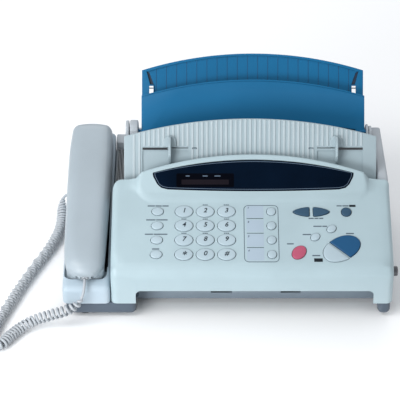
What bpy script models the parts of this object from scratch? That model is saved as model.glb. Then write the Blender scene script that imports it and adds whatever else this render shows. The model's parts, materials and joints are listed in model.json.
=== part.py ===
"""Thermal-transfer fax machine with a corded handset, as separate solids.

The lengths below are millimetres, and MM turns them into the scene's metres. +X is the
machine's right, +Y its rear and +Z up. The origin is on the table under the middle of
the machine. Depths named y count from the front plane, at FRONT.
"""

import math

import bmesh
import bpy
from mathutils import Matrix, Vector

MM = 0.001
GAP = 0.3
WALL = 2.5

FRONT = -113.0
BODY_LEFT, BODY_RIGHT = -160.5, 155.5
BODY_REAR = 196.0
FOOT_TOP = 3.7
BASE_BOTTOM, BASE_RIM = 4.0, 17.8
CHIN_Y, CHIN_TOP = 28.0, 26.0
LEG_LEFT_INNER, LEG_RIGHT_INNER = -90.5, 142.0

CRADLE_RIGHT = -115.0
COVER_LEFT = -114.3
MIDDLE = 23.0

PANEL_START, PANEL_SLOPE = (4.0, 58.5), 25.0
PANEL_END_Y = 93.5
PANEL_THICK = 2.5
SKIRT_BOTTOM, ARCH_TOP = 18.2, 33.0
ARCH_RIGHT = 137.0
DISPLAY_START, DISPLAY_SLOPE = (73.7, 91.0), 40.0
RIDGE_Y = 108.3
TRAY_START, TRAY_SLOPE = (102.0, 90.0), 60.0
TRAY_LEFT, TRAY_RIGHT = -103.6, 144.3
BLUE_LEFT, BLUE_RIGHT = -88.0, 136.8
PAPER_COVER_START, PAPER_COVER_SLOPE = (168.0, 108.0), 55.0
SUPPORT_START, SUPPORT_SLOPE = (182.0, 103.0), 57.0
HANDSET_X, HANDSET_START, HANDSET_SLOPE = -138.9, (4.0, 47.0), 15.0
HANDSET_LENGTH = 196.0
HANDSET_ENDS = ((6, 50), (148, 188))
COVER_PIVOT = (178.0, 100.0)
JACK_Y, JACK_Z = 176, 26
RELEASE = (18.7, 43.0)

# Each turning roller's depth, height and radius, and the radius of the shafts' ends.
ROLLERS = {
    "platen_roller": (104, 46, 9),
    "ribbon_take_up_spool": (74, 42, 8),
    "ribbon_supply_spool": (134, 50, 13),
}
JOURNAL = 3.0
PIVOT_PIN, PAPER_COVER_PIN = 2.6, 2.0

KEY_BELOW, KEY_ABOVE = -4.6, 1.5
KEY_CLEARANCE = 0.4
KEY_COLUMNS = (-44.4, -24.0, -3.6)
KEY_ROWS = (60.9, 45.1, 29.3, 13.5)
GUIDE_X = (-58.7, 104.7)
GUIDE_SLOT = (31.8, 34.2)
CORD_RADIUS, LEAD_RADIUS = 5.75, 1.5

WHITE = ("cover_white", (0.62, 0.69, 0.74), 0.45)
HANDSET_WHITE = ("handset_white", (0.55, 0.60, 0.66), 0.40)
BLUE_GREY = ("base_blue_grey", (0.24, 0.29, 0.36), 0.50)
SIDE_GREY = ("side_grey", (0.52, 0.56, 0.58), 0.50)
BLUE = ("tray_blue", (0.03, 0.13, 0.28), 0.45)
KEY_BLUE = ("key_blue", (0.06, 0.14, 0.28), 0.40)
KEY_WHITE = ("key_white", (0.66, 0.72, 0.78), 0.40)
KEY_PINK = ("key_pink", (0.58, 0.16, 0.24), 0.40)
WINDOW_NAVY = ("window_navy", (0.01, 0.02, 0.06), 0.08)
RUBBER = ("rubber_dark", (0.05, 0.05, 0.05), 0.80)
STEEL = ("steel", (0.55, 0.56, 0.58), 0.35)
BOARD = ("board_green", (0.05, 0.20, 0.09), 0.50)
DARK = ("plastic_dark", (0.08, 0.075, 0.07), 0.50)
CORD_WHITE = ("cord_white", (0.60, 0.63, 0.67), 0.50)
CLEAR_PLUG = ("plug_clear", (0.62, 0.64, 0.66), 0.10)


# Scene, materials and frames

for old in list(bpy.data.objects):
    bpy.data.objects.remove(old, do_unlink=True)
PARTS = bpy.data.collections.new("fax_machine")
CUTTERS = bpy.data.collections.new("cutters")
bpy.context.scene.collection.children.link(PARTS)
bpy.context.scene.collection.children.link(CUTTERS)
CUTTERS.hide_render = True


def material(finish):
    name, colour, roughness = finish
    found = bpy.data.materials.get(name)
    if found:
        return found
    made = bpy.data.materials.new(name)
    made.use_nodes = True
    shader = made.node_tree.nodes["Principled BSDF"]
    shader.inputs["Base Color"].default_value = (*colour, 1)
    shader.inputs["Roughness"].default_value = roughness
    shader.inputs["Metallic"].default_value = 1.0 if finish is STEEL else 0.0
    return made


def slope_frame(x, start, degrees):
    """Local X is the machine's X, local Y climbs the slope and local Z leaves its surface."""
    y, z = start
    return Matrix.Translation((x, FRONT + y, z)) @ Matrix.Rotation(math.radians(degrees), 4, "X")


PLAN = slope_frame(0, (0, 0), 0)
ELEVATION = slope_frame(0, (0, 0), 90)
SIDE = Matrix(((0, 0, 1, 0), (1, 0, 0, FRONT), (0, 1, 0, 0), (0, 0, 0, 1)))
PANEL = slope_frame(0, PANEL_START, PANEL_SLOPE)
DISPLAY = slope_frame(0, DISPLAY_START, DISPLAY_SLOPE)
TRAY = slope_frame(0, TRAY_START, TRAY_SLOPE)
PAPER_COVER = slope_frame(0, PAPER_COVER_START, PAPER_COVER_SLOPE)
SUPPORT = slope_frame(0, SUPPORT_START, SUPPORT_SLOPE)
HANDSET = slope_frame(HANDSET_X, HANDSET_START, HANDSET_SLOPE)


# Outlines

def ellipse(x, y, wide, high, steps=20, turn=0):
    around = Matrix.Rotation(math.radians(turn), 2)
    angles = [2 * math.pi * i / steps for i in range(steps)]
    points = [around @ Vector((wide * math.cos(a), high * math.sin(a))) for a in angles]
    return [(x + p.x, y + p.y) for p in points]


def arc_through(first, middle, last, steps=12):
    """Points of the circle arc from first to last by way of middle."""
    a, b, c = (Vector(p) for p in (first, middle, last))
    ab, ac = b - a, c - a
    cross = 2 * (ab.x * ac.y - ab.y * ac.x)
    offset = Vector((ac.y * ab.length_squared - ab.y * ac.length_squared,
                     ab.x * ac.length_squared - ac.x * ab.length_squared)) / cross
    centre, radius = a + offset, offset.length
    start = math.atan2(a.y - centre.y, a.x - centre.x)
    sweep = math.atan2(c.y - centre.y, c.x - centre.x) - start
    turn = 2 * math.pi if cross > 0 else -2 * math.pi
    sweep = sweep if (sweep > 0) == (cross > 0) else sweep + turn
    angles = [start + sweep * i / steps for i in range(steps + 1)]
    return [(centre.x + radius * math.cos(t), centre.y + radius * math.sin(t)) for t in angles]


def rounded(points, radius, steps=3):
    """The outline with each corner replaced by a short curve that starts radius before it."""
    result = []
    for i, point in enumerate(points):
        corner = Vector(point)
        before = Vector(points[i - 1]) - corner
        after = Vector(points[(i + 1) % len(points)]) - corner
        reach = min(radius, before.length * 0.45, after.length * 0.45)
        start = corner + before.normalized() * reach
        end = corner + after.normalized() * reach
        for k in range(steps + 1):
            t = k / steps
            p = start * (1 - t) ** 2 + corner * 2 * t * (1 - t) + end * t * t
            result.append((p.x, p.y))
    return result


def rectangle(left, right, low, high):
    return [(left, low), (right, low), (right, high), (left, high)]


# Meshes, in millimetres

def slab(frame, outline, low, high):
    """The outline filled in the frame's XY plane, from low to high along its Z."""
    curve = bpy.data.curves.new("outline", "CURVE")
    curve.dimensions = "2D"
    curve.fill_mode = "BOTH"
    curve.extrude = (high - low) / 2
    spline = curve.splines.new("POLY")
    spline.points.add(len(outline) - 1)
    for point, (x, y) in zip(spline.points, outline):
        point.co = (x, y, 0, 1)
    spline.use_cyclic_u = True
    holder = bpy.data.objects.new("outline", curve)
    bpy.context.scene.collection.objects.link(holder)
    graph = bpy.context.evaluated_depsgraph_get()
    mesh = bpy.data.meshes.new_from_object(holder.evaluated_get(graph))
    bpy.data.objects.remove(holder, do_unlink=True)
    mesh.materials.clear()
    mesh.transform(frame @ Matrix.Translation((0, 0, (low + high) / 2)))
    return closed(mesh)


def closed(mesh):
    shape = bmesh.new()
    shape.from_mesh(mesh)
    bmesh.ops.remove_doubles(shape, verts=shape.verts, dist=0.001)
    bmesh.ops.recalc_face_normals(shape, faces=shape.faces)
    shape.to_mesh(mesh)
    shape.free()
    return mesh


def box(x, y, z):
    """A block between pairs of x, of y from the front plane, and of z."""
    shape = bmesh.new()
    bmesh.ops.create_cube(shape, size=1)
    size = Vector((x[1] - x[0], y[1] - y[0], z[1] - z[0]))
    centre = Vector((sum(x) / 2, FRONT + sum(y) / 2, sum(z) / 2))
    bmesh.ops.scale(shape, vec=size, verts=shape.verts)
    bmesh.ops.translate(shape, vec=centre, verts=shape.verts)
    mesh = bpy.data.meshes.new("box")
    shape.to_mesh(mesh)
    shape.free()
    return mesh


def rod(frame, radius, low, high, sides=24, tip=None):
    """A round bar along the frame's Z, with the radius tip at its high end."""
    shape = bmesh.new()
    place = frame @ Matrix.Translation((0, 0, (low + high) / 2))
    bmesh.ops.create_cone(
        shape, cap_ends=True, segments=sides, radius1=radius,
        radius2=radius if tip is None else tip, depth=high - low, matrix=place,
    )
    mesh = bpy.data.meshes.new("rod")
    shape.to_mesh(mesh)
    shape.free()
    return mesh


def axle(y, z):
    """A frame whose Z runs to the machine's right, through this depth and height."""
    return SIDE @ Matrix.Translation((y, z, 0))


# Objects, in metres

def part(name, mesh, finish, pivot=None):
    """A sub-part with its origin on its joint's axis, or at the machine's own origin."""
    origin = Vector(pivot or (0, 0, 0))
    mesh.transform(Matrix.Scale(MM, 4) @ Matrix.Translation(-origin))
    mesh.materials.clear()
    mesh.materials.append(material(finish))
    mesh.shade_smooth()
    mesh.set_sharp_from_angle(angle=math.radians(35))
    made = bpy.data.objects.new(name, mesh)
    made.location = origin * MM
    PARTS.objects.link(made)
    return made


def tool(mesh):
    """A hidden solid that a part is cut by, joined with or trimmed to."""
    mesh.transform(Matrix.Scale(MM, 4))
    made = bpy.data.objects.new("tool", mesh)
    made.hide_render = True
    made.display_type = "WIRE"
    CUTTERS.objects.link(made)
    return made


def combine(target, mesh_or_object, operation):
    other = mesh_or_object
    if isinstance(other, bpy.types.Mesh):
        other = tool(other)
    boolean = target.modifiers.new(operation.lower(), "BOOLEAN")
    boolean.operation = operation
    boolean.solver = "EXACT"
    boolean.object = other


def cut(target, *meshes):
    for mesh in meshes:
        combine(target, mesh, "DIFFERENCE")


def join(target, *meshes):
    for mesh in meshes:
        combine(target, mesh, "UNION")


def soften(target, width, segments=2):
    bevel = target.modifiers.new("bevel", "BEVEL")
    bevel.width = width * MM
    bevel.segments = segments
    bevel.limit_method = "ANGLE"
    bevel.angle_limit = math.radians(50)


def point(frame, x, y, z=0.0):
    return tuple(frame @ Vector((x, y, z)))


# Base

def base_case():
    left, right = BODY_LEFT + 2.5, BODY_RIGHT - 1.5
    front, rear, back = 1.5, BODY_REAR - 1.0, CHIN_Y + WALL
    outer = [(left, front), (LEG_LEFT_INNER, front), (LEG_LEFT_INNER, CHIN_Y),
             (LEG_RIGHT_INNER, CHIN_Y), (LEG_RIGHT_INNER, front), (right, front),
             (right, rear), (left, rear)]
    inner = [(left + WALL, front + WALL), (LEG_LEFT_INNER - WALL, front + WALL),
             (LEG_LEFT_INNER - WALL, back), (LEG_RIGHT_INNER + WALL, back),
             (LEG_RIGHT_INNER + WALL, front + WALL), (right - WALL, front + WALL),
             (right - WALL, rear - WALL), (left + WALL, rear - WALL)]
    case = part("base_case", slab(PLAN, rounded(outer, 4), BASE_BOTTOM, BASE_RIM), BLUE_GREY)
    floor = BASE_BOTTOM + WALL
    cut(case, slab(PLAN, rounded(inner, 2), floor, 40))
    join(case, box((LEG_LEFT_INNER - 2, LEG_RIGHT_INNER + 2), (CHIN_Y, back), (10, CHIN_TOP)))
    side_plate = [(36, 5), (36, 40), (60, 55), (146, 66), (146, 5)]
    for x in (-96, 138):
        join(case, slab(SIDE, rounded(side_plate, 3), x, x + 3))
    for x in (-56, 126):
        for y in (84, 182):
            boss = PLAN @ Matrix.Translation((x, y, 0))
            join(case, rod(boss, 3, floor - 1, 8.7, 12))
    for y, z, _ in ROLLERS.values():
        cut(case, rod(axle(y, z), JOURNAL + 0.4, -100, 145, 16))
    return case


def rollers():
    for name, (y, z, radius) in ROLLERS.items():
        frame = axle(y, z)
        finish = RUBBER if name == "platen_roller" else DARK
        roller = part(name, rod(frame, radius, -90, 135), finish, point(frame, 0, 0))
        join(roller, rod(frame, JOURNAL, -98, 143, 16))


def thermal_head():
    part("thermal_head", box((-88, 133), (97, 111), (24, 34)), STEEL)


def main_board():
    board = part("main_board", box((-62, 132), (78, 188), (9, 10.6)), BOARD)
    join(board, box((-20, 30), (100, 140), (10, 14)), box((70, 110), (120, 160), (10, 22)))


def drive_motor():
    frame = axle(164, 32)
    motor = part("drive_motor", rod(frame, 17, -92.7, -74), STEEL)
    join(motor, rod(frame, 5, -75, -70, 16))


def feet():
    places = {"foot_front_left": (-140, 16), "foot_front_right": (148, 16),
              "foot_rear_left": (-140, 178), "foot_rear_right": (138, 178)}
    for name, (x, y) in places.items():
        radius = 5 if name == "foot_front_right" else 8
        part(name, rod(PLAN @ Matrix.Translation((x, y, 0)), radius, 0, FOOT_TOP), RUBBER)


# Upper housings

def cradle_housing():
    """The left side under the handset: a sloping deck on walls, open underneath."""
    bottom = BASE_RIM + GAP
    outer = [(0, bottom), (0, 33), (3, 36.5), (BODY_REAR, 89), (BODY_REAR, bottom)]
    inner = [(WALL, 0), (WALL, 26), (BODY_REAR - WALL, 78), (BODY_REAR - WALL, 0)]
    housing = part("cradle_housing", slab(SIDE, rounded(outer, 3), BODY_LEFT, CRADLE_RIGHT), WHITE)
    cut(housing, slab(SIDE, inner, BODY_LEFT + WALL, CRADLE_RIGHT - WALL))
    for start, end in HANDSET_ENDS:
        well = rounded(rectangle(-20.5, 20.5, start - 1.2, end + 1.2), 6)
        cut(housing, slab(HANDSET, well, -15.8, 0))
    cut(housing, slab(HANDSET, rectangle(-3.5, 3.5, 92, 108), -30, 0))
    jack_y, jack_z = (JACK_Y - 4, JACK_Y + 4), (JACK_Z - 3.6, JACK_Z + 3.6)
    cut(housing, box((BODY_LEFT - 5, BODY_LEFT + 5), jack_y, jack_z))


def hook_switch():
    """The sprung plunger between the wells, held down while the handset lies over it."""
    part("hook_switch", slab(HANDSET, rounded(rectangle(-3, 3, 92.5, 107.5), 1.5), -24, -8.6), DARK,
         point(HANDSET, 0, 100, -16))


def rear_housing():
    """The back wall, the paper hopper and the right side frame, one moulding."""
    bottom = BASE_RIM + GAP
    wall = box((COVER_LEFT + 0.5, BODY_RIGHT - 0.5), (BODY_REAR - 5, BODY_REAR), (bottom + 0.5, 95.5))
    housing = part("rear_housing", wall, SIDE_GREY)
    rear = BODY_REAR - 0.5
    shelf = [(96.5, bottom), (96.5, 66), (181, 79), (182, 86), (rear, 88), (rear, bottom)]
    shelf_inner = [(99, 0), (99, 62), (180, 75), (BODY_REAR - 6, 75), (BODY_REAR - 6, 0)]
    join(housing, slab(SIDE, shelf, COVER_LEFT, -105))
    frame = [(96.5, bottom), (96.5, 96), (104, 97), (rear, 97), (rear, bottom)]
    frame_inner = [(99, 0), (99, 93), (BODY_REAR - 6, 93), (BODY_REAR - 6, 0)]
    join(housing, slab(SIDE, rounded(frame, 2), 145.3, BODY_RIGHT))
    cheek = [(161, 70), (161, 113), (165, 117.5), (175, 117.5), (192, 98), (192, 70)]
    floor = [(161, 84), (BODY_REAR - 3, 78), (BODY_REAR - 3, 75), (161, 81)]
    join(housing, slab(SIDE, cheek, -99, -91.3), slab(SIDE, cheek, 138.2, 140.6))
    join(housing, slab(SIDE, floor, -98, 140.2))
    cut(housing, slab(SIDE, shelf_inner, COVER_LEFT + 2, -107))
    cut(housing, slab(SIDE, frame_inner, 147.3, 153.3))
    for low, high in ((-103.8, -95), (139.4, 144.4)):
        join(housing, rod(axle(*COVER_PIVOT), PIVOT_PIN, low, high, 16))
    for low, high in ((-93.4, -85), (136, 139.4)):
        cut(housing, rod(axle(*PAPER_COVER_START), PAPER_COVER_PIN + 0.4, low, high, 16))
    socket = box((60, 72), (BODY_REAR - 9, BODY_REAR + 4), (40, 50))
    inlet = box((95, 119), (BODY_REAR - 9, BODY_REAR + 4), (36, 52))
    cut(housing, socket, inlet)


# Top cover: inner frame, document tray and guides

def cover_frame():
    """The chute under the control panel and the deck behind it, between cheeks that reach the pivots."""
    plate = [(30, 48), (96, 78.8), (97.5, 76), (31.5, 45.2)]
    cheek = [(30, 45), (30, 48), (96, 79.5), (108, 84), (128, 103), (176, 106), (184, 104),
             (184, 96), (176, 92), (136, 88), (112, 72), (60, 56)]
    pivot = point(axle(*COVER_PIVOT), 0, 0)
    frame = part("cover_frame", slab(SIDE, plate, -102, 142.5), DARK, pivot)
    join(frame, slab(SIDE, rounded(cheek, 2), -103.6, -100.4), slab(SIDE, rounded(cheek, 2), 141.0, 144.2))
    deck = [(113, 84), (128, 102.4), (146, 103.6), (146, 101.1), (129.2, 99.9), (115, 82.4)]
    rear_deck = [(140, 103.0), (157, 104.2), (157, 102), (140, 100.9)]
    join(frame, slab(SIDE, deck, -102, 142.5), slab(SIDE, rear_deck, -90.5, 137.4))
    for low, high in ((-110, -99), (139, 150)):
        cut(frame, rod(axle(*COVER_PIVOT), PIVOT_PIN + 0.4, low, high, 16))


def document_tray():
    arch = arc_through((TRAY_RIGHT, 45.2), (22, 62.6), (TRAY_LEFT, 45.2), 16)
    outline = rounded([(TRAY_LEFT, -2), (TRAY_RIGHT, -2)], 0, 1) + arch
    tray = part("document_tray", slab(TRAY, outline, -2.5, 0), WHITE)
    for low, high in ((-85.5, -40.5), (86, 131)):
        cut(tray, slab(TRAY, rectangle(low, high, *GUIDE_SLOT), -6, 6))
        cut(tray, slab(TRAY, rectangle(low, high, 10, GUIDE_SLOT[0] - 0.5), -1.2, 6))


def document_guides():
    middle = sum(GUIDE_SLOT) / 2
    for name, x, side in (("document_guide_left", GUIDE_X[0], 1), ("document_guide_right", GUIDE_X[1], -1)):
        tab = [(x + 7, 25), *arc_through((x + 7, 33), (x, 46), (x - 7, 33), 10), (x - 7, 25)]
        guide = part(name, slab(TRAY, tab, GAP, 2.2), WHITE, point(TRAY, x, middle))
        join(guide, slab(TRAY, rectangle(x - 1.2, x + 1.2, 23, 45), 1.0, 12))
        join(guide, slab(TRAY, rectangle(x - 2.5, x + 2.5, middle - 0.8, middle + 0.8), -5.4, 1.5))
        ends = sorted((x - 2.5 * side, x + 109 * side))
        rack_y = middle - 6.1 * side
        join(guide, slab(TRAY, rectangle(*ends, rack_y - 1.2, rack_y + 1.2), -6.0, -3.2))
        link = sorted((rack_y, middle))
        join(guide, slab(TRAY, rectangle(x - 2.4, x + 2.4, link[0] - 1, link[1] + 0.7), -5.7, -3.5))


def guide_pinion():
    teeth = 14
    outline = []
    for i in range(teeth * 2):
        radius = 4.6 if i % 2 else 3.8
        angle = math.pi * (i + 0.5) / teeth
        outline.append((MIDDLE + radius * math.cos(angle), 33 + radius * math.sin(angle)))
    part("guide_pinion", slab(TRAY, outline, -5.9, -3.3), DARK, point(TRAY, MIDDLE, 33))


def scan_unit():
    chute = slope_frame(0, (31.5, 45.2), PANEL_SLOPE)
    part("scan_unit", slab(chute, rectangle(-90, 132, 8, 24), -9, -GAP), DARK)


def document_roller():
    frame = axle(88, 86.5)
    roller = part("document_roller", rod(frame, 5, -82, 112, 20), RUBBER, point(frame, 0, 0))
    join(roller, rod(frame, 2, -100.1, 140.7, 12))


# Control panel

def display_outline(inset=0.0):
    top = arc_through((121 - inset, 25.5), (MIDDLE, 38.6 - inset), (-75.4 + inset, 25.5), 14)
    low = arc_through((-66 + inset, 9.5 + inset), (MIDDLE, 6.3 + inset), (112 - inset, 9.5 + inset), 6)
    return rounded(top + low, 2, 1)


def ridge_outline():
    """The raised display frame seen from above: an arch behind, a straight foot in front."""
    arch = arc_through((132, 94), (MIDDLE, RIDGE_Y), (-88, 94), 14)
    return [(-74, 72), (119, 72), (132, 82), *arch, (-88, 82)]


def control_panel():
    y, z = PANEL_START
    rise = math.tan(math.radians(PANEL_SLOPE))
    end_z = z + (PANEL_END_Y - y) * rise
    outer = rounded([(0, SKIRT_BOTTOM), (0, z - 6), (y, z), (PANEL_END_Y, end_z)], 3) \
        + [(PANEL_END_Y, SKIRT_BOTTOM)]
    drop = PANEL_THICK / math.cos(math.radians(PANEL_SLOPE))
    inner = [(WALL, 0), (WALL, z - 8), (y + 2, z + 2 * rise - drop),
             (PANEL_END_Y + 5, end_z + 5 * rise - drop), (PANEL_END_Y + 5, 0)]
    panel = part("control_panel", slab(SIDE, outer, COVER_LEFT, BODY_RIGHT), WHITE,
                 point(SIDE, PANEL_END_Y, end_z - 1.2))
    slope = math.tan(math.radians(DISPLAY_SLOPE))
    low_y, low_z = DISPLAY_START
    ridge_z = low_z + (RIDGE_Y + 2 - low_y) * slope
    side = [(68, 84), (low_y, low_z), (RIDGE_Y + 2, ridge_z), (RIDGE_Y + 2, 98), (92, 90)]
    wedge = tool(slab(SIDE, side, -92, 136))
    combine(wedge, slab(PLAN, ridge_outline(), 60, 140), "INTERSECT")
    combine(panel, wedge, "UNION")
    roof_z = low_z - 6.5
    room = [(81, 40), (81, roof_z + (81 - low_y) * slope),
            (116, roof_z + (116 - low_y) * slope), (116, 40)]
    cut(panel, slab(SIDE, inner, COVER_LEFT + WALL, BODY_RIGHT - WALL))
    cut(panel, slab(SIDE, room, -85, 129))
    arch = rounded(rectangle(LEG_LEFT_INNER, ARCH_RIGHT, 0, ARCH_TOP), 5)
    cut(panel, slab(ELEVATION, arch, -12, 12))
    cut(panel, slab(DISPLAY, display_outline(), -2.2, 9))
    cut(panel, slab(DISPLAY, rectangle(-52, 4, 10.5, 26), -9, 9))
    cut(panel, rod(axle(*RELEASE), 5.2, BODY_RIGHT - 8, BODY_RIGHT + 8))
    for outline in KEYS.values():
        cut(panel, slab(PANEL, grown(outline[0], KEY_CLEARANCE), -9, 9))


def grown(outline, margin):
    """The outline moved outwards from its middle by about the margin."""
    middle = sum((Vector(p) for p in outline), Vector((0, 0))) / len(outline)
    moved = [Vector(p) + (Vector(p) - middle).normalized() * margin for p in outline]
    return [(p.x, p.y) for p in moved]


def half_oval(x, y, side):
    """One half of the tilted start and copy oval, split across its long axis."""
    turn = Matrix.Rotation(math.radians(42), 2)
    angles = [math.pi * i / 12 for i in range(13)]
    arc = [(side * (20.5 * math.sin(a) + 0.8), 13 * math.cos(a)) for a in angles]
    points = [turn @ Vector(p) for p in arc]
    return rounded([(x + p.x, y + p.y) for p in points], 0.8, 1)


def arrow(x, y, side):
    shape = [(-8, 0), (-2, -4.8), (7.6, -4.2), (7.6, 4.2), (-2, 4.8)]
    return rounded([(x - side * px, y + py) for px, py in shape], 2, 2)


def key_outlines():
    """Every key of the panel with its outline on the panel's surface and its finish."""
    keys = {}
    names = ("1", "2", "3", "4", "5", "6", "7", "8", "9", "star", "0", "hash")
    for i, name in enumerate(names):
        keys["key_" + name] = (ellipse(KEY_COLUMNS[i % 3], KEY_ROWS[i // 3], 8.6, 6.2), KEY_WHITE)
    for i, s in enumerate(KEY_ROWS):
        keys[f"function_key_{i + 1}"] = (ellipse(-69.8 - 0.3 * i, s, 5.6, 4.2, 16), KEY_WHITE)
        keys[f"one_touch_key_{i + 1}"] = (ellipse(39.6, s, 4.3, 4.3, 16), KEY_WHITE)
    keys["arrow_key_left"] = (arrow(68.8, 60.6, -1), KEY_BLUE)
    keys["arrow_key_right"] = (arrow(87.8, 60.6, 1), KEY_BLUE)
    keys["menu_key"] = (ellipse(112.1, 60.4, 5.1, 5.1), KEY_BLUE)
    keys["resolution_key"] = (ellipse(97.2, 41.6, 4.5, 3.8, 16, 20), KEY_WHITE)
    keys["mode_key"] = (ellipse(81.3, 32.6, 4.5, 3.8, 16, 20), KEY_WHITE)
    keys["stop_key"] = (ellipse(65.4, 15.7, 7.2, 6.6, 20, -30), KEY_PINK)
    keys["start_key"] = (half_oval(105.5, 20.5, 1), KEY_BLUE)
    keys["copy_key"] = (half_oval(105.5, 20.5, -1), KEY_WHITE)
    return keys


KEYS = key_outlines()


def panel_keys():
    for name, (outline, finish) in KEYS.items():
        middle = sum((Vector(p) for p in outline), Vector((0, 0))) / len(outline)
        cap = part(name, slab(PANEL, outline, KEY_BELOW, KEY_ABOVE), finish, point(PANEL, *middle))
        soften(cap, 0.7, 1)


def lcd_window():
    part("lcd_window", slab(DISPLAY, display_outline(GAP), -1.9, -0.3), WINDOW_NAVY)


def panel_board():
    part("panel_board", slab(PANEL, rectangle(-84, 134, 3, 66), -8.2, -6.6), BOARD)


def release_button():
    frame = axle(*RELEASE)
    part("release_button", rod(frame, 4.8, 149, 160.5), DARK, point(frame, 0, 0, 155))


# Paper cover and support

def paper_cover():
    top = arc_through((BLUE_RIGHT, 36), (24.4, 52.3), (BLUE_LEFT, 36), 16)
    low = arc_through((BLUE_LEFT + 9, 2), (24.4, 9), (BLUE_RIGHT - 9, 2), 10)
    outline = [(BLUE_LEFT, -3), (BLUE_LEFT + 9, -3), *low, (BLUE_RIGHT - 9, -3), (BLUE_RIGHT, -3), *top]
    cover = part("paper_cover", slab(PAPER_COVER, outline, -1.3, 1.3), BLUE,
                 point(axle(*PAPER_COVER_START), 0, 0))
    pivot = axle(*PAPER_COVER_START)
    for low, high in ((-93.0, BLUE_LEFT + 5), (BLUE_RIGHT - 5, 139.0)):
        join(cover, rod(pivot, PAPER_COVER_PIN, low, high, 16))


def paper_support():
    top = arc_through((BLUE_RIGHT, 59), (24.4, 76), (BLUE_LEFT, 59), 16)
    outline = [(BLUE_LEFT + 3, -12), (BLUE_RIGHT - 3, -12), (BLUE_RIGHT, 30), *top, (BLUE_LEFT, 30)]
    support = part("paper_support", slab(SUPPORT, outline, -3.2, 0), BLUE, point(SUPPORT, MIDDLE, 0))
    for x in (BLUE_LEFT + 9.5, BLUE_RIGHT - 9.5):
        cut(support, slab(SUPPORT, rectangle(x - 2, x + 2, 36, 43), -9, 9))


# Handset and cord

def handset_outline():
    """The plan of the handset: a tapered bar, fuller in the middle, with rounded ends."""
    right = [(18, 9), (19, 30), (20.4, 75), (21.6, 120), (21.6, 160), (20.8, 186)]
    left = [(-19.5, 184), (-21.4, 160), (-21.6, 120), (-21.3, 75), (-20.6, 30), (-18.5, 9)]
    low = arc_through((-14, 2.5), (0, 0), (13, 2.5), 6)
    top = arc_through((16, 193.5), (0, HANDSET_LENGTH), (-15.5, 193.5), 6)
    return low + right + top + left


def handset():
    outline = handset_outline()
    back = part("handset_back_shell", slab(HANDSET, outline, GAP, 12), HANDSET_WHITE,
                point(HANDSET, 0, 98))
    soften(back, 5, 3)
    front = part("handset_inner_shell", slab(HANDSET, outline, -6, 0), HANDSET_WHITE,
                 point(HANDSET, 0, 98))
    for start, end in HANDSET_ENDS:
        join(front, slab(HANDSET, rounded(rectangle(-18, 18, start, end), 6), -15, -2))
    cut(front, slab(HANDSET, rectangle(-4.1, 4.1, -2, 12), -7, -1))
    plug = [(-3.8, 0.6), (3.8, 0.6), (3.8, 11.5), (-3.8, 11.5)]
    part("handset_plug", slab(HANDSET, plug, -5.7, -1.2), CLEAR_PLUG, point(HANDSET, 0, 6, -3.4))


def base_plug():
    plug_y, plug_z = (JACK_Y - 3.7, JACK_Y + 3.7), (JACK_Z - 3.2, JACK_Z + 3.2)
    part("base_plug", box((BODY_LEFT - 3, BODY_LEFT + 9), plug_y, plug_z), CLEAR_PLUG)


# The curly cord from the handset's plug to the base's jack: x, y from the front plane and z
# of its middle line, and the share of the full radius that the cord has there.
CORD_ROUTE = (
    (HANDSET_X, 4.3, 43.4, 0), (HANDSET_X, -1.5, 41.0, 0),
    (-140.5, -8.5, 33.5, 0), (-145.5, -12.0, 26.0, 0.55),
    (-156.0, -14.0, 20.5, 1), (-171.0, -14.0, 15.0, 1),
    (-187.0, -15.0, 9.5, 1), (-200.0, -23.0, 6.4, 1),
    (-209.5, -36.0, 6.1, 1), (-216.0, -46.5, 6.1, 1),
    (-225.0, -47.0, 6.1, 1), (-228.0, -37.0, 6.1, 1),
    (-222.0, -14.0, 6.1, 1), (-213.5, 15.0, 6.1, 1),
    (-205.0, 43.0, 6.1, 1), (-195.0, 72.0, 6.1, 1),
    (-184.0, 101.0, 6.1, 1), (-175.5, 128.0, 6.6, 1),
    (-172.0, 148.0, 9.0, 1), (-171.5, 161.0, 14.5, 1),
    (-171.8, 169.0, 20.0, 0.55), (-170.0, 174.0, 24.3, 0),
    (-166.5, JACK_Y, JACK_Z, 0), (-163.8, JACK_Y, JACK_Z, 0),
)


def smooth_route(route, steps):
    """Points of a smooth curve through every point of the route."""
    points = [Vector(p) for p in route]
    result = []
    for i in range(len(points) - 1):
        a, b = points[max(i - 1, 0)], points[i]
        c, d = points[i + 1], points[min(i + 2, len(points) - 1)]
        for k in range(steps):
            t = k / steps
            result.append(0.5 * (2 * b + (c - a) * t + (2 * a - 5 * b + 4 * c - d) * t ** 2
                                 + (3 * b - a - 3 * c + d) * t ** 3))
    return result + [points[-1]]


def coil_cord():
    curve = bpy.data.curves.new("coil_cord", "CURVE")
    curve.dimensions = "3D"
    curve.bevel_depth = CORD_RADIUS * MM
    curve.bevel_resolution = 2
    curve.use_fill_caps = True
    spline = curve.splines.new("POLY")
    route = smooth_route(CORD_ROUTE, 3)
    spline.points.add(len(route) - 1)
    thin = LEAD_RADIUS / CORD_RADIUS
    for place, station in zip(spline.points, route):
        x, y, z, fullness = station
        place.co = (x * MM, (FRONT + y) * MM, z * MM, 1)
        place.radius = thin + (1 - thin) * min(max(fullness, 0), 1)
    cord = bpy.data.objects.new("coil_cord", curve)
    curve.materials.append(material(CORD_WHITE))
    PARTS.objects.link(cord)


base_case()
rollers()
thermal_head()
main_board()
drive_motor()
feet()
cradle_housing()
hook_switch()
rear_housing()
cover_frame()
document_tray()
document_guides()
guide_pinion()
scan_unit()
document_roller()
control_panel()
panel_keys()
lcd_window()
panel_board()
release_button()
paper_cover()
paper_support()
handset()
base_plug()
coil_cord()
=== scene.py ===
import json
import math

import bmesh
import bpy
from mathutils import Matrix, Vector

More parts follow.
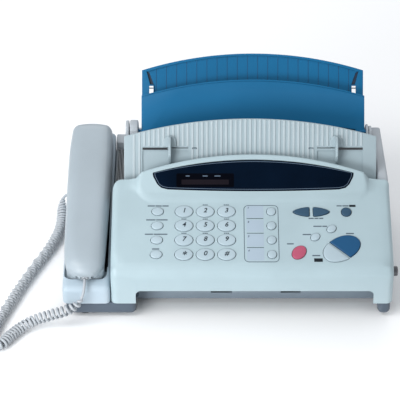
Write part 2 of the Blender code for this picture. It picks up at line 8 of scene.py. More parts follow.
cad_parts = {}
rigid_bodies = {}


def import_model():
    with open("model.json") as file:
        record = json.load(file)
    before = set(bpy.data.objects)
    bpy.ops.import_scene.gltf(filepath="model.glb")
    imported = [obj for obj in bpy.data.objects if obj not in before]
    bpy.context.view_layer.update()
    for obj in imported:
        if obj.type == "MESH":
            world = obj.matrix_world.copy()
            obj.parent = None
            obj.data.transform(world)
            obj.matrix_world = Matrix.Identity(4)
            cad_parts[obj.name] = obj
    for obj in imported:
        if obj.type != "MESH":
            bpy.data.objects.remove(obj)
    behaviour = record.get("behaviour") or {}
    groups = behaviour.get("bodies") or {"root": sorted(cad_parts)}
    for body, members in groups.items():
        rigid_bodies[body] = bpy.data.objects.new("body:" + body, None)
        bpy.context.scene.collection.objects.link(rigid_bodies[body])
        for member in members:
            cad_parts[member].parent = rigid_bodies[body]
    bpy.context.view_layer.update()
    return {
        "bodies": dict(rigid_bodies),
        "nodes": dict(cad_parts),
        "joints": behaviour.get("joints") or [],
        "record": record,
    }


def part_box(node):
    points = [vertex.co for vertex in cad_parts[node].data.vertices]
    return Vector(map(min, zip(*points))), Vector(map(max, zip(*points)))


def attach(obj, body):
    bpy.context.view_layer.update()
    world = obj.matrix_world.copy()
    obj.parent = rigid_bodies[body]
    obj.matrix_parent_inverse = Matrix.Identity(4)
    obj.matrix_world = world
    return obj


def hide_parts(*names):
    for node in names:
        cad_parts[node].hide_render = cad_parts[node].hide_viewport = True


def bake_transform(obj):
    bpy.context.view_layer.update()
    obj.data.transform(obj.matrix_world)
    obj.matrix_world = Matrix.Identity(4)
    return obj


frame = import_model()

MM = 0.001


# The studio
# A pale table top under soft light from all sides, with a broad lamp above the left
# shoulder, and the camera at the height of someone standing in front of the table.
studio = bpy.context.scene
studio.view_settings.view_transform = "Standard"


def feed(node, values):
    """Sets a node's inputs by name, each to a plain value or to the socket that feeds it."""
    for socket, value in values.items():
        if isinstance(value, bpy.types.NodeSocket):
            node.id_data.links.new(value, node.inputs[socket])
        else:
            node.inputs[socket].default_value = value
    return node


def shown(name, data):
    """The mesh, lamp or camera as an object of the scene."""
    made = bpy.data.objects.new(name, data)
    studio.collection.objects.link(made)
    return made


def mesh_of(shape):
    """The bmesh as a mesh."""
    mesh = bpy.data.meshes.new("shape")
    shape.to_mesh(mesh)
    shape.free()
    return mesh


def lamp(name, place, aim, size, power, colour=(1, 1, 1)):
    data = bpy.data.lights.new(name, "AREA")
    data.shape, data.energy, data.color = "RECTANGLE", power, colour
    data.size, data.size_y = size
    made = shown(name, data)
    made.location = place
    made.rotation_euler = (Vector(aim) - Vector(place)).to_track_quat("-Z", "Y").to_euler()


camera_data = bpy.data.cameras.new("camera")
camera_data.lens, camera_data.sensor_width = 157.5, 36
studio.camera = shown("camera", camera_data)
studio.camera.location = (-0.0290, -1.4475, 1.0379)
studio.camera.rotation_euler = (math.radians(56), 0, 0)
studio.world = bpy.data.worlds.new("studio_air")
studio.world.use_nodes = True
feed(studio.world.node_tree.nodes["Background"], {"Color": (0.93, 0.96, 1.0, 1), "Strength": 0.62})
lamp("key_lamp", (-0.85, -0.65, 1.25), (0, 0, 0.05), (0.8, 0.8), 11.0)
lamp("front_lamp", (-0.66, -1.0, 0.38), (0, 0, 0.05), (0.6, 0.4), 8.8, (0.96, 0.98, 1.0))
lamp("back_lamp", (0.1, 1.2, 1.1), (0, 0, 0.1), (1.4, 0.7), 6.0)

white_card = bpy.data.materials.new("white_card")
white_card.use_nodes = True
feed(white_card.node_tree.nodes["Principled BSDF"], {"Base Color": (0.98, 0.98, 0.98, 1), "Roughness": 0.9})
floor_shape = bmesh.new()
bmesh.ops.create_grid(floor_shape, x_segments=1, y_segments=1, size=6)
table_top = shown("table_top", mesh_of(floor_shape))
table_top.data.materials.append(white_card)


# The curly handset cord
# A flat telephone lead in a grey-white sheath, wound hot on a mandrel so that it springs
# back into a helix. Its straight ends leave the handset's plug and enter the base's jack.
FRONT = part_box("control_panel")[0].y / MM
HANDSET_X = -138.9
JACK_Y, JACK_Z = 176.0, 26.0
COIL_RADIUS, WIRE_RADIUS = 5.75, 1.35
TURN_PITCH, STRETCHED_PITCH = 3.3, 5.6
CORD_ROUTE = (
    (HANDSET_X, 4.3, 43.4, 0), (HANDSET_X, -1.5, 41.0, 0),
    (-140.5, -8.5, 33.5, 0), (-145.5, -12.0, 26.0, 0.55),
    (-156.0, -14.0, 20.5, 1), (-171.0, -14.0, 15.0, 1),
    (-187.0, -15.0, 9.5, 1), (-200.0, -23.0, 6.4, 1),
    (-209.5, -36.0, 6.1, 1), (-216.0, -46.5, 6.1, 1),
    (-225.0, -47.0, 6.1, 1), (-228.0, -37.0, 6.1, 1),
    (-222.0, -14.0, 6.1, 1), (-213.5, 15.0, 6.1, 1),
    (-205.0, 43.0, 6.1, 1), (-195.0, 72.0, 6.1, 1),
    (-184.0, 101.0, 6.1, 1), (-175.5, 128.0, 6.6, 1),
    (-172.0, 148.0, 9.0, 1), (-171.5, 161.0, 14.5, 1),
    (-171.8, 169.0, 20.0, 0.55), (-170.0, 174.0, 24.3, 0),
    (-166.5, JACK_Y, JACK_Z, 0), (-163.8, JACK_Y, JACK_Z, 0),
)


def passing(a, b, c, d, t):
    """The point between b and c on the smooth curve through all four."""
    return 0.5 * (2 * b + (c - a) * t + (2 * a - 5 * b + 4 * c - d) * t ** 2 + (3 * b - a - 3 * c + d) * t ** 3)


def smooth_route(route, steps):
    """Points of a smooth curve through every point of the route."""
    points = [Vector(p) for p in (route[0], *route, route[-1])]
    return [passing(*points[i:i + 4], k / steps) for i in range(len(route) - 1) for k in range(steps)] + [points[-1]]


def wound(route, steps=40, turn_points=14):
    """The sheath's own line: it circles the route at the coil's radius, closer where it is slack."""
    fine = smooth_route(route, steps)
    centres = [Vector((x, FRONT + y, z)) for x, y, z, _ in fine]
    side = Vector((0, 0, 1))
    angle, carried, line = 0.0, 0.0, [centres[0]]
    for i in range(1, len(centres)):
        step = centres[i] - centres[i - 1]
        along = step.normalized()
        side = (side - along * side.dot(along)).normalized()
        fullness = min(max(fine[i][3], 0), 1)
        radius = (COIL_RADIUS - WIRE_RADIUS) * fullness
        pulled = max(0.0, 1 - i / (len(centres) * 0.42))
        pitch = TURN_PITCH + (STRETCHED_PITCH - TURN_PITCH) * pulled
        turned = 2 * math.pi * step.length / pitch if fullness > 0.02 else 0.0
        angle += turned
        carried += max(turned, 2 * math.pi / turn_points * step.length / 2.5 if fullness <= 0.02 else 0)
        if carried >= 2 * math.pi / turn_points:
            carried = 0.0
            across = along.cross(side)
            line.append(centres[i] + (side * math.cos(angle) + across * math.sin(angle)) * radius)
    return line + [centres[-1]]


def bands(shape, loops):
    """Faces between each closed loop of points and the next."""
    for a, b in zip(loops, loops[1:]):
        for i in range(len(a)):
            n = (i + 1) % len(a)
            shape.faces.new((a[i], a[n], b[n], b[i]))


def tube(points, radius, sides=8):
    """A closed round tube along the points, with its rings carried along without twist."""
    shape = bmesh.new()
    uv = shape.loops.layers.uv.new("sheath")
    rings, lengths = [], [0.0]
    side = Vector((0, 0, 1))
    for i, centre in enumerate(points):
        along = (points[min(i + 1, len(points) - 1)] - points[max(i - 1, 0)]).normalized()
        side = (side - along * side.dot(along)).normalized()
        across = along.cross(side)
        angles = [2 * math.pi * k / sides for k in range(sides)]
        rings.append([shape.verts.new(centre + (side * math.cos(a) + across * math.sin(a)) * radius)
                      for a in angles])
        if i:
            lengths.append(lengths[-1] + (centre - points[i - 1]).length)
    bands(shape, rings)
    for number, face in enumerate(shape.faces):
        i, k = divmod(number, sides)
        for loop, (u, v) in zip(face.loops, ((k, i), (k + 1, i), (k + 1, i + 1), (k, i + 1))):
            loop[uv].uv = (u / sides, lengths[v] / 10)
    shape.faces.new(rings[0][::-1])
    shape.faces.new(rings[-1])
    bmesh.ops.recalc_face_normals(shape, faces=shape.faces)
    return mesh_of(shape)


def adder(tree):
    """A function that adds a node to the tree and sets it up."""
    def node(kind, values, **settings):
        made = tree.nodes.new(kind)
        for setting, value in settings.items():
            setattr(made, setting, value)
        return feed(made, values)
    return node


def new_material(name):
    """A material with its shader, its adder of nodes and the object's own coordinates."""
    made = bpy.data.materials.new(name)
    made.use_nodes = True
    node = adder(made.node_tree)
    return made, made.node_tree.nodes["Principled BSDF"], node, node("ShaderNodeTexCoord", {}).outputs["Object"]


def moulded(name, colour, roughness, grain=0.10, grain_size=1400.0, spread=0.035, shine=0.5, worn=0.5):
    """Injection-moulded plastic: a spark-eroded grain, faint clouding and lighter rubbed edges."""
    made, shader, node, spot = new_material(name)
    cloud = node("ShaderNodeTexNoise", {"Scale": 22.0, "Detail": 4.0, "Vector": spot}).outputs["Fac"]
    shades = node("ShaderNodeValToRGB", {"Fac": cloud})
    for stop, place, share in zip(shades.color_ramp.elements, (0.3, 0.7), (1 - spread, 1 + spread)):
        stop.position = place
        stop.color = (*[min(c * share, 1) for c in colour], 1)
    edge = node("ShaderNodeMapRange", {"From Min": 0.53, "From Max": 0.68, "To Max": worn,
                                       "Value": node("ShaderNodeNewGeometry", {}).outputs["Pointiness"]})
    rubbed = node("ShaderNodeMix", {"Factor": edge.outputs["Result"], "A": shades.outputs["Color"],
                                    "B": (*[c + (1 - c) * 0.28 for c in colour], 1)}, data_type="RGBA")
    speck = node("ShaderNodeTexNoise", {"Scale": grain_size, "Detail": 3.0, "Vector": spot})
    handled = node("ShaderNodeMapRange", {"From Min": 0.3, "From Max": 0.7, "To Min": roughness * 0.88,
                                          "To Max": min(roughness * 1.12, 1), "Value": cloud})
    bump = node("ShaderNodeBump", {"Strength": grain, "Distance": 0.0002, "Height": speck.outputs["Fac"]})
    feed(shader, {"Base Color": rubbed.outputs["Result"], "Roughness": handled.outputs["Result"],
                  "Normal": bump.outputs["Normal"], "Specular IOR Level": shine})
    return made


def dress(mesh, finish):
    mesh.materials.clear()
    mesh.materials.append(finish)


def piece(name, mesh, finish, body, slot, *nodes, sharp=35):
    """A finished mesh as an object that rides on its body and stands for its CAD nodes."""
    dress(mesh, finish)
    mesh.shade_smooth()
    mesh.set_sharp_from_angle(angle=math.radians(sharp))
    mesh.name = name
    made = shown(name, mesh)
    if body:
        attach(made, body)
    if nodes:
        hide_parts(*nodes)
    return made


cord_line = [p * MM for p in wound(CORD_ROUTE)]
cord_sheath = moulded("cord_sheath", (0.36, 0.39, 0.42), 0.42, grain=0.05, spread=0.06)
curly_cord = piece("curly_cord", tube(cord_line, WIRE_RADIUS * MM), cord_sheath, None, "cord_plastic",
                   "coil_cord", sharp=80)
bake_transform(curly_cord)


# The modular plugs of the cord
# Clear moulded plastic bodies that snap into the jacks, with a latch below and four
# gold contacts across the nose.
SIDE = Matrix.Scale(MM, 4) @ Matrix(((0, 0, 1, 0), (1, 0, 0, FRONT), (0, 1, 0, 0), (0, 0, 0, 1)))


def slope(x, y, z, degrees):
    """A frame in millimetres: X to the right, Y up a slope that starts at y, z, and Z off it."""
    climb = Matrix.Rotation(math.radians(degrees), 4, "X")
    return Matrix.Scale(MM, 4) @ Matrix.Translation((x, FRONT + y, z)) @ climb


def outset(outline, distance):
    """The counter-clockwise outline with each side moved outwards by the distance."""
    result = []
    for i, point in enumerate(outline):
        here = Vector(point)
        before = (here - Vector(outline[i - 1])).normalized()
        after = (Vector(outline[(i + 1) % len(outline)]) - here).normalized()
        normal = Vector((before.y + after.y, -before.x - after.x))
        if normal.length < 0.2:
            normal = Vector((before.y, -before.x))
        normal.normalize()
        reach = distance / max(normal.dot(Vector((before.y, -before.x))), 0.5)
        result.append(tuple(here + normal * reach))
    return result


def area_of(outline):
    pairs = zip(outline, outline[1:] + outline[:1])
    return sum(a[0] * b[1] - b[0] * a[1] for a, b in pairs) / 2


def plate(outline, low, high, rim=0.0, foot=0.0, crown=0.0, steps=4):
    """The outline filled from low to high, with both its rims rounded and its top domed."""
    rings = [(foot * (1 - math.sin(a)), low + foot * (1 - math.cos(a)))
             for a in (math.pi / 2 * k / steps for k in range(steps + 1 if foot else 1))]
    rings += [(rim * (1 - math.sin(a)), high - crown - rim * (1 - math.cos(a)))
              for a in (math.pi / 2 * (1 - k / steps) for k in range(steps + 1 if rim else 1))]
    if area_of(outline) < 0:
        outline = outline[::-1]
    shape = bmesh.new()
    loops = [[shape.verts.new((x, y, z)) for x, y in outset(outline, -inset)] for inset, z in rings]
    if crown:
        last = [Vector(p) for p in outset(outline, -rings[-1][0])]
        middle = sum(last, Vector((0, 0))) / len(last)
        for share in (0.75, 0.5, 0.25):
            near = [middle + (p - middle) * share for p in last]
            loops.append([shape.verts.new((p.x, p.y, high - crown * share ** 2)) for p in near])
    bands(shape, loops)
    shape.faces.new(loops[0][::-1])
    shape.faces.new(loops[-1])
    return mesh_of(shape)


def quarter(x, y, radius, start, steps=6):
    """Points of a quarter circle round the centre, counter-clockwise from the start angle."""
    angles = [math.radians(start + 90 * k / steps) for k in range(steps + 1)]
    return [(x + radius * math.cos(a), y + radius * math.sin(a)) for a in angles]


def rectangle(left, right, low, high, corner=0.0, steps=4):
    """A rectangle's outline, with round corners where a radius is given."""
    if not corner:
        return [(left, low), (right, low), (right, high), (left, high)]
    return (quarter(right - corner, low + corner, corner, -90, steps)
            + quarter(right - corner, high - corner, corner, 0, steps)
            + quarter(left + corner, high - corner, corner, 90, steps)
            + quarter(left + corner, low + corner, corner, 180, steps))


def block(sides, *heights_and_rims):
    """A plate with a rectangle's outline."""
    return plate(rectangle(*sides), *heights_and_rims)


def placed(mesh, frame):
    mesh.transform(frame)
    return mesh


def merged(*meshes):
    """Several meshes as one."""
    shape = bmesh.new()
    for mesh in meshes:
        shape.from_mesh(mesh)
    return mesh_of(shape)


def clear_plastic(name, tint, roughness=0.06):
    """Clear polycarbonate with faint flow marks from the mould."""
    made, shader, node, spot = new_material(name)
    flow = node("ShaderNodeTexNoise", {"Scale": 260.0, "Vector": spot}).outputs["Fac"]
    haze = node("ShaderNodeMapRange", {"To Min": roughness, "To Max": roughness * 2.5, "Value": flow})
    bump = node("ShaderNodeBump", {"Strength": 0.05, "Distance": 0.0003, "Height": flow})
    feed(shader, {"Base Color": (*tint, 1), "Transmission Weight": 0.7, "IOR": 1.58,
                  "Roughness": haze.outputs["Result"], "Normal": bump.outputs["Normal"]})
    return made


def metal(name, colour, roughness, brush=900.0):
    """Rolled or plated metal with a fine grain and a little smear."""
    made, shader, node, spot = new_material(name)
    stretch = node("ShaderNodeMapping", {"Vector": spot, "Scale": (0.06, 1, 1)})
    grain = node("ShaderNodeTexNoise", {"Scale": brush, "Vector": stretch.outputs["Vector"]}).outputs["Fac"]
    tones = node("ShaderNodeValToRGB", {"Fac": grain})
    for stop, share in zip(tones.color_ramp.elements, (0.85, 1)):
        stop.color = (*[c * share for c in colour], 1)
    polish = node("ShaderNodeMapRange", {"To Min": roughness * 0.7, "To Max": roughness * 1.3, "Value": grain})
    bump = node("ShaderNodeBump", {"Strength": 0.15, "Distance": 0.0001, "Height": grain})
    feed(shader, {"Metallic": 1.0, "Base Color": tones.outputs["Color"],
                  "Roughness": polish.outputs["Result"], "Normal": bump.outputs["Normal"]})
    return made


def shifted(frame, x, y, z):
    return frame @ Matrix.Translation((x, y, z))


HANDSET = slope(HANDSET_X, 4.0, 47.0, 15)
HANDSET_PLUG = shifted(HANDSET, 0, 0.6, -3.45)
BASE_PLUG = slope(-163.5, JACK_Y, JACK_Z, 0) @ Matrix.Rotation(math.radians(-90), 4, "Z")
PLUG_LENGTH = 10.9
plug_plastic = clear_plastic("plug_plastic", (0.80, 0.83, 0.86))
contact_gold = metal("contact_gold", (0.83, 0.62, 0.25), 0.25)
for plug_name, plug_body, plug_frame, plug_node in (
        ("handset_cord_plug", "handset", HANDSET_PLUG, "handset_plug"),
        ("base_cord_plug", "base", BASE_PLUG, "base_plug")):
    plug = merged(block((-3.6, 3.6, 0, PLUG_LENGTH, 0.8), -2.2, 1.9, 0.5, 0.5),
                  block((-1.6, 1.6, 1.2, PLUG_LENGTH - 0.8, 0.6), 1.8, 2.3, 0.2))
    contacts = merged(*[block((x - 0.25, x + 0.25, PLUG_LENGTH - 3.0, PLUG_LENGTH + 0.1), -2.4, -1.6)
                        for x in (-1.5, -0.5, 0.5, 1.5)])
    piece(plug_name, placed(plug, plug_frame), plug_plastic, plug_body, "clear_plug", plug_node)
    piece(plug_name + "_contacts", placed(contacts, plug_frame), contact_gold, plug_body, "clear_plug")
tuple(cord_line[0])


# The base
# A blue-grey tub moulded in one with its short front legs, the chin between them and the
# two plates that carry the rollers. Everything else is screwed into it from below.
BODY_LEFT, BODY_RIGHT, BODY_REAR = -160.5, 155.5, 196.0
BASE_BOTTOM, BASE_RIM, BASE_WALL = 4.0, 17.8, 2.5
LEG_LEFT_INNER, LEG_RIGHT_INNER, CHIN_Y, CHIN_TOP = -90.5, 142.0, 28.0, 26.0
ROLLER_HOLES = ((104, 46), (74, 42), (134, 50))


def shade(red, green, blue):
    """The linear colour of an sRGB triple."""
    return tuple(((c / 255 + 0.055) / 1.055) ** 2.4 for c in (red, green, blue))


def filleted(points, radius, steps=5):
    """The outline with each corner turned into an arc of about the radius."""
    result = []
    for i, point in enumerate(points):
        corner = Vector(point)
        before = Vector(points[i - 1]) - corner
        after = Vector(points[(i + 1) % len(points)]) - corner
        half = before.angle(after) / 2
        reach = min(radius / max(math.tan(half), 0.05), before.length * 0.48, after.length * 0.48)
        start, end = before.normalized() * reach, after.normalized() * reach
        middle = (before.normalized() + after.normalized()).normalized() * (reach / max(math.cos(half), 0.05))
        for k in range(steps + 1):
            t = k / steps
            along = (start - middle).lerp(end - middle, t).normalized() * (start - middle).length
            result.append(tuple(corner + middle + along))
    return result


def boolean(mesh, *others, operation="DIFFERENCE"):
    """The mesh cut by the others in turn, or joined with them."""
    for other in others:
        target, tool = shown("target", mesh), shown("tool", other)
        modifier = target.modifiers.new("cut", "BOOLEAN")
        modifier.operation, modifier.solver, modifier.object = operation, "EXACT", tool
        graph = bpy.context.evaluated_depsgraph_get()
        mesh = bpy.data.meshes.new_from_object(target.evaluated_get(graph))
        for made in (target, tool):
            bpy.data.objects.remove(made)
    return mesh


def joined(mesh, *others):
    return boolean(mesh, *others, operation="UNION")


def rod(frame, radius, low, high, sides=32, chamfer=0.0):
    """A round bar along the frame's Z with chamfered ends."""
    circle = [(radius * math.cos(2 * math.pi * i / sides), radius * math.sin(2 * math.pi * i / sides))
              for i in range(sides)]
    return placed(plate(circle, low, high, chamfer, chamfer, steps=2), frame)


def axle(y, z):
    """A frame whose Z runs to the right, through this depth and height."""
    return SIDE @ Matrix.Translation((y, z, 0))


PLAN = slope(0, 0, 0, 0)
UPRIGHT = slope(0, 0, 0, 90)
ELEVATION = Matrix.Rotation(math.pi / 2, 4, "X")
base_left, base_right, base_front, base_rear = BODY_LEFT + 2.5, BODY_RIGHT - 1.5, 1.5, BODY_REAR - 1.0
base_outline = filleted([
    (base_left, base_front), (LEG_LEFT_INNER, base_front), (LEG_LEFT_INNER, CHIN_Y),
    (LEG_RIGHT_INNER, CHIN_Y), (LEG_RIGHT_INNER, base_front), (base_right, base_front),
    (base_right, base_rear), (base_left, base_rear)], 4.8)


def bilge(inset):
    """The slice left of the tub's round lower left edge, from front to rear."""
    radius, low, left = 13 - inset, BASE_BOTTOM + inset, base_left + inset
    curve = quarter(left + radius, low + radius, radius, 180, 8)[::-1]
    corners = [(left + radius, low - 20), *curve, (left - 20, low + radius), (left - 20, low - 20)]
    return placed(plate(corners, -BODY_REAR - 5, 5), ELEVATION)


base_room = boolean(plate(outset(base_outline, -BASE_WALL), BASE_BOTTOM + BASE_WALL, 40), bilge(BASE_WALL))
base_shell = placed(boolean(plate(base_outline, BASE_BOTTOM, BASE_RIM, 0.6, 4.4), bilge(0), base_room), PLAN)
chin_wall = block((CHIN_Y, CHIN_Y + BASE_WALL, 9, CHIN_TOP, 0.6), LEG_LEFT_INNER - 1.5, LEG_RIGHT_INNER + 1.5)
roller_plate = filleted([(36, 5), (146, 5), (146, 66), (60, 55), (36, 40)], 3)
roller_plates = [placed(plate(roller_plate, x, x + 3, 0.4, 0.4), SIDE) for x in (-96, 138)]
base_shell = boolean(joined(base_shell, placed(chin_wall, SIDE), *roller_plates),
                     *[rod(axle(*hole), 3.4, -100, 145) for hole in ROLLER_HOLES])
chin = block((LEG_LEFT_INNER + 0.3, LEG_RIGHT_INNER - 0.3, BASE_BOTTOM, CHIN_TOP), -CHIN_Y - 0.2, 1.2 - CHIN_Y, 0.4)
for slot_left, slot_right in ((-18.4, 2.1), (49.4, 69.0)):
    slot = block((slot_left, slot_right, 10.9, 15.4, 0.6), -CHIN_Y - 8, -CHIN_Y + 5)
    chin = boolean(chin, slot)
    base_shell = boolean(base_shell, placed(slot, UPRIGHT))
base_plastic = moulded("base_plastic", shade(80, 91, 103), 0.48, shine=0.3)
piece("base_tub", base_shell, base_plastic, "base", "base_plastic", "base_case")
# The chin guard is the base's blue-grey painted lighter: painted light that lifts the shade falling on the chin under
# the panel's arch.
chin_plastic = moulded("chin_plastic", shade(122, 135, 146), 0.5, shine=0.3)
piece("chin_guard", placed(chin, UPRIGHT), chin_plastic, "base", "base_plastic")


# The rubber feet
# Four turned rubber buttons pressed into the floor of the tub; the front right one is
# narrower, because it stands in the slim leg beside the paper's way out.
rubber = moulded("foot_rubber", (0.035, 0.035, 0.037), 0.85, grain=0.3, grain_size=700, spread=0.15, worn=0.2)
for foot_name, foot_x, foot_y, foot_radius in (
        ("foot_front_left", -140, 16, 8), ("foot_front_right", 148, 16, 5),
        ("foot_rear_left", -140, 178, 8), ("foot_rear_right", 138, 178, 8)):
    foot = rod(shifted(PLAN, foot_x, foot_y, 0), foot_radius, 0, 3.7, 32, 0.6)
    piece(foot_name + "_pad", foot, rubber, "base", "rubber", foot_name)


# The handset cradle
# A white moulding under the handset: a deck that climbs to the rear on four walls, with two
# wells that take the handset's ear and mouth ends and a slot for the hook switch.
CRADLE_RIGHT, CRADLE_BOTTOM = -115.0, 18.1
DECK_START, DECK_CLIMB = (3.0, 36.5), 52.5 / 193.0
HANDSET_ENDS = ((6, 50), (148, 188))


def edge_distance(outline, x, y):
    """How far the point lies inside the outline."""
    here = Vector((x, y))
    nearest = 1e9
    for a, b in zip(outline, outline[1:] + outline[:1]):
        start, along = Vector(a), Vector(b) - Vector(a)
        share = min(max((here - start).dot(along) / max(along.length_squared, 1e-9), 0), 1)
        nearest = min(nearest, (start + along * share - here).length)
    return nearest


def draped(outline, insets, x_lines, y_lines, top, bottom):
    """A closed form over the outline: a top whose height is top(x, y, distance from the edge),
    sampled along the lines and in rings inside the edge, on walls that stand at bottom."""
    shape = bmesh.new()
    loops = [[shape.verts.new((x, y, 0)) for x, y in outset(outline, -inset)] for inset in insets]
    bands(shape, loops)
    shape.faces.new(loops[-1])
    for axis, lines in ((0, x_lines), (1, y_lines)):
        for line in lines:
            spot, normal = [0, 0, 0], [0, 0, 0]
            spot[axis], normal[axis] = line, 1
            everything = list(shape.verts) + list(shape.edges) + list(shape.faces)
            bmesh.ops.bisect_plane(shape, geom=everything, dist=0.02, plane_co=spot, plane_no=normal)
    rim = [edge for edge in shape.edges if edge.is_boundary]
    walls = bmesh.ops.extrude_edge_only(shape, edges=rim)
    foot = {v for v in walls["geom"] if isinstance(v, bmesh.types.BMVert)}
    for vert in shape.verts:
        if vert not in foot:
            vert.co.z = top(vert.co.x, vert.co.y, edge_distance(outline, vert.co.x, vert.co.y))
    for vert in foot:
        vert.co.z = bottom
    bmesh.ops.contextual_create(shape, geom=[edge for edge in shape.edges if edge.is_boundary])
    bmesh.ops.triangulate(shape, faces=[face for face in shape.faces if len(face.verts) > 4])
    bmesh.ops.recalc_face_normals(shape, faces=shape.faces)
    return mesh_of(shape)


def rolled(distance, radius):
    """How far an edge rounded to the radius drops at a distance from its brink."""
    if distance >= radius:
        return 0.0
    return radius - math.sqrt(max(radius ** 2 - (radius - distance) ** 2, 0))


def steps_between(low, high, count):
    return [low + (high - low) * (i + 1) / (count + 1) for i in range(count)]


def deck_height(x, y, distance):
    flat = DECK_START[1] + (y - DECK_START[0]) * DECK_CLIMB
    radius = 5.0 if x < -140 or y < 30 else 1.2
    return flat - rolled(distance, radius)


cradle_plan = rectangle(BODY_LEFT, CRADLE_RIGHT, 0, BODY_REAR, 5, 5)
cradle = draped(cradle_plan, (0, 0.3, 0.8, 1.6, 2.8, 4.6), steps_between(BODY_LEFT, CRADLE_RIGHT, 6),
                steps_between(0, BODY_REAR, 16), deck_height, CRADLE_BOTTOM)
cradle_room = plate([(3, 0), (3, 27), (193, 79), (193, 0)], BODY_LEFT + 2.5, CRADLE_RIGHT - 2.5)
wells = [block((-20.5, 20.5, low - 1.2, high + 1.2, 7), -15.8, 9) for low, high in HANDSET_ENDS]
hook_hole = block((-3.5, 3.5, 92, 108, 1), -30, 9)
jack_hole = block((JACK_Y - 4, JACK_Y + 4, JACK_Z - 3.6, JACK_Z + 3.6, 0.5), BODY_LEFT - 5, BODY_LEFT + 5)
gap_slot = block((26, 176, -60, 120), CRADLE_RIGHT - 6.5, CRADLE_RIGHT - 2.6)
cradle = boolean(placed(cradle, PLAN), placed(cradle_room, SIDE),
                 *[placed(hole, HANDSET) for hole in (*wells, hook_hole)],
                 placed(jack_hole, SIDE), placed(gap_slot, SIDE))
cover_plastic = moulded("cover_plastic", shade(168, 184, 195), 0.44)
piece("cradle_shell", cradle, cover_plastic, "base", "cover_plastic", "cradle_housing")

dark_plastic = moulded("dark_plastic", (0.018, 0.020, 0.022), 0.5, grain=0.15, spread=0.12, worn=0.25)
hook = block((-3, 3, 92.5, 107.5, 1.4), -24, -8.6, 1.2)
piece("hook_plunger", placed(hook, HANDSET), dark_plastic, "hook_switch", "dark_plastic", "hook_switch")


# The rear housing
# One grey-white moulding: the shelf with the loudspeaker's louvres on the left, the back
# wall with its jack and power inlet, the hopper's cheeks and floor, and the right side frame.
COVER_LEFT = -114.3
COVER_PIVOT = (178.0, 100.0)
PAPER_COVER_START = (168.0, 108.0)
rear_low = BASE_RIM + 0.3
rear_in = BODY_REAR - 0.5


def tree_of(name, **inputs):
    """A Geometry Nodes tree with these inputs and a material, and the functions that fill it."""
    tree = bpy.data.node_groups.new(name, "GeometryNodeTree")
    tree.interface.new_socket("Mesh", in_out="OUTPUT", socket_type="NodeSocketGeometry")
    for word, value in inputs.items():
        kind = "NodeSocketInt" if isinstance(value, int) else "NodeSocketFloat"
        tree.interface.new_socket(word.replace("_", " ").title(), socket_type=kind).default_value = value
    tree.interface.new_socket("Material", socket_type="NodeSocketMaterial")
    given = tree.nodes.new("NodeGroupInput").outputs
    node = adder(tree)

    def sum_up(operation, a, b=0.0):
        return node("ShaderNodeMath", {0: a, 1: b}, operation=operation).outputs[0]

    def vector(x=0.0, y=0.0, z=0.0):
        return node("ShaderNodeCombineXYZ", {0: x, 1: y, 2: z}).outputs[0]

    def end(points, form, **more):
        spread = node("GeometryNodeInstanceOnPoints", {"Points": points, "Instance": form, **more})
        real = node("GeometryNodeRealizeInstances", {"Geometry": spread.outputs[0]})
        dressed = node("GeometryNodeSetMaterial", {"Geometry": real.outputs[0], "Material": given["Material"]})
        node("NodeGroupOutput", {0: dressed.outputs[0]})
        return tree

    return given, node, sum_up, vector, end


def grown(tree, finish, **values):
    """The plain mesh that a tree makes with these values for its named inputs."""
    holder = shown("holder", bpy.data.meshes.new("holder"))
    modifier = holder.modifiers.new("grow", "NODES")
    modifier.node_group = tree
    values["material"] = finish
    for item in tree.interface.items_tree:
        label = item.name.replace(" ", "_").lower()
        if item.in_out == "INPUT" and label in values:
            modifier[item.identifier] = values[label]
    graph = bpy.context.evaluated_depsgraph_get()
    mesh = bpy.data.meshes.new_from_object(holder.evaluated_get(graph))
    holder.modifiers.remove(modifier)
    bpy.data.objects.remove(holder)
    return mesh


def ribs_tree():
    """Tapered ribs side by side along X that stand on a foot line and end below an arch."""
    given, node, sum_up, vector, end = tree_of(
        "ribs_under_an_arch", count=10, start=0.0, pitch=3.5, width=1.5, height=0.5, foot=0.0,
        arch_middle=0.0, arch_centre=0.0, arch_radius=100.0)
    row = node("GeometryNodeMeshLine", {"Count": given["Count"], "Offset": vector(given["Pitch"]),
                                        "Start Location": vector(given["Start"], given["Foot"])})
    spot = node("ShaderNodeSeparateXYZ", {0: node("GeometryNodeInputPosition", {}).outputs[0]})
    away = sum_up("SUBTRACT", spot.outputs[0], given["Arch Middle"])
    inside = sum_up("SUBTRACT", sum_up("POWER", given["Arch Radius"], 2.0), sum_up("MULTIPLY", away, away))
    crest = sum_up("ADD", given["Arch Centre"], sum_up("SQRT", inside))
    bar = node("GeometryNodeMeshCube", {"Size": (1, 1, 1)})
    lifted = node("GeometryNodeTransform", {"Geometry": bar.outputs["Mesh"], "Translation": (0, 0.5, 0)})
    corner = node("ShaderNodeSeparateXYZ", {0: node("GeometryNodeInputPosition", {}).outputs[0]})
    is_top = sum_up("GREATER_THAN", corner.outputs[2], 0.0)
    pull = sum_up("MULTIPLY", sum_up("MULTIPLY", corner.outputs[0], is_top), -0.45)
    top = node("GeometryNodeSetPosition", {"Geometry": lifted.outputs[0], "Offset": vector(pull)})
    return end(row.outputs["Mesh"], top.outputs[0],
               Scale=vector(given["Width"], sum_up("SUBTRACT", crest, given["Foot"]), given["Height"]))


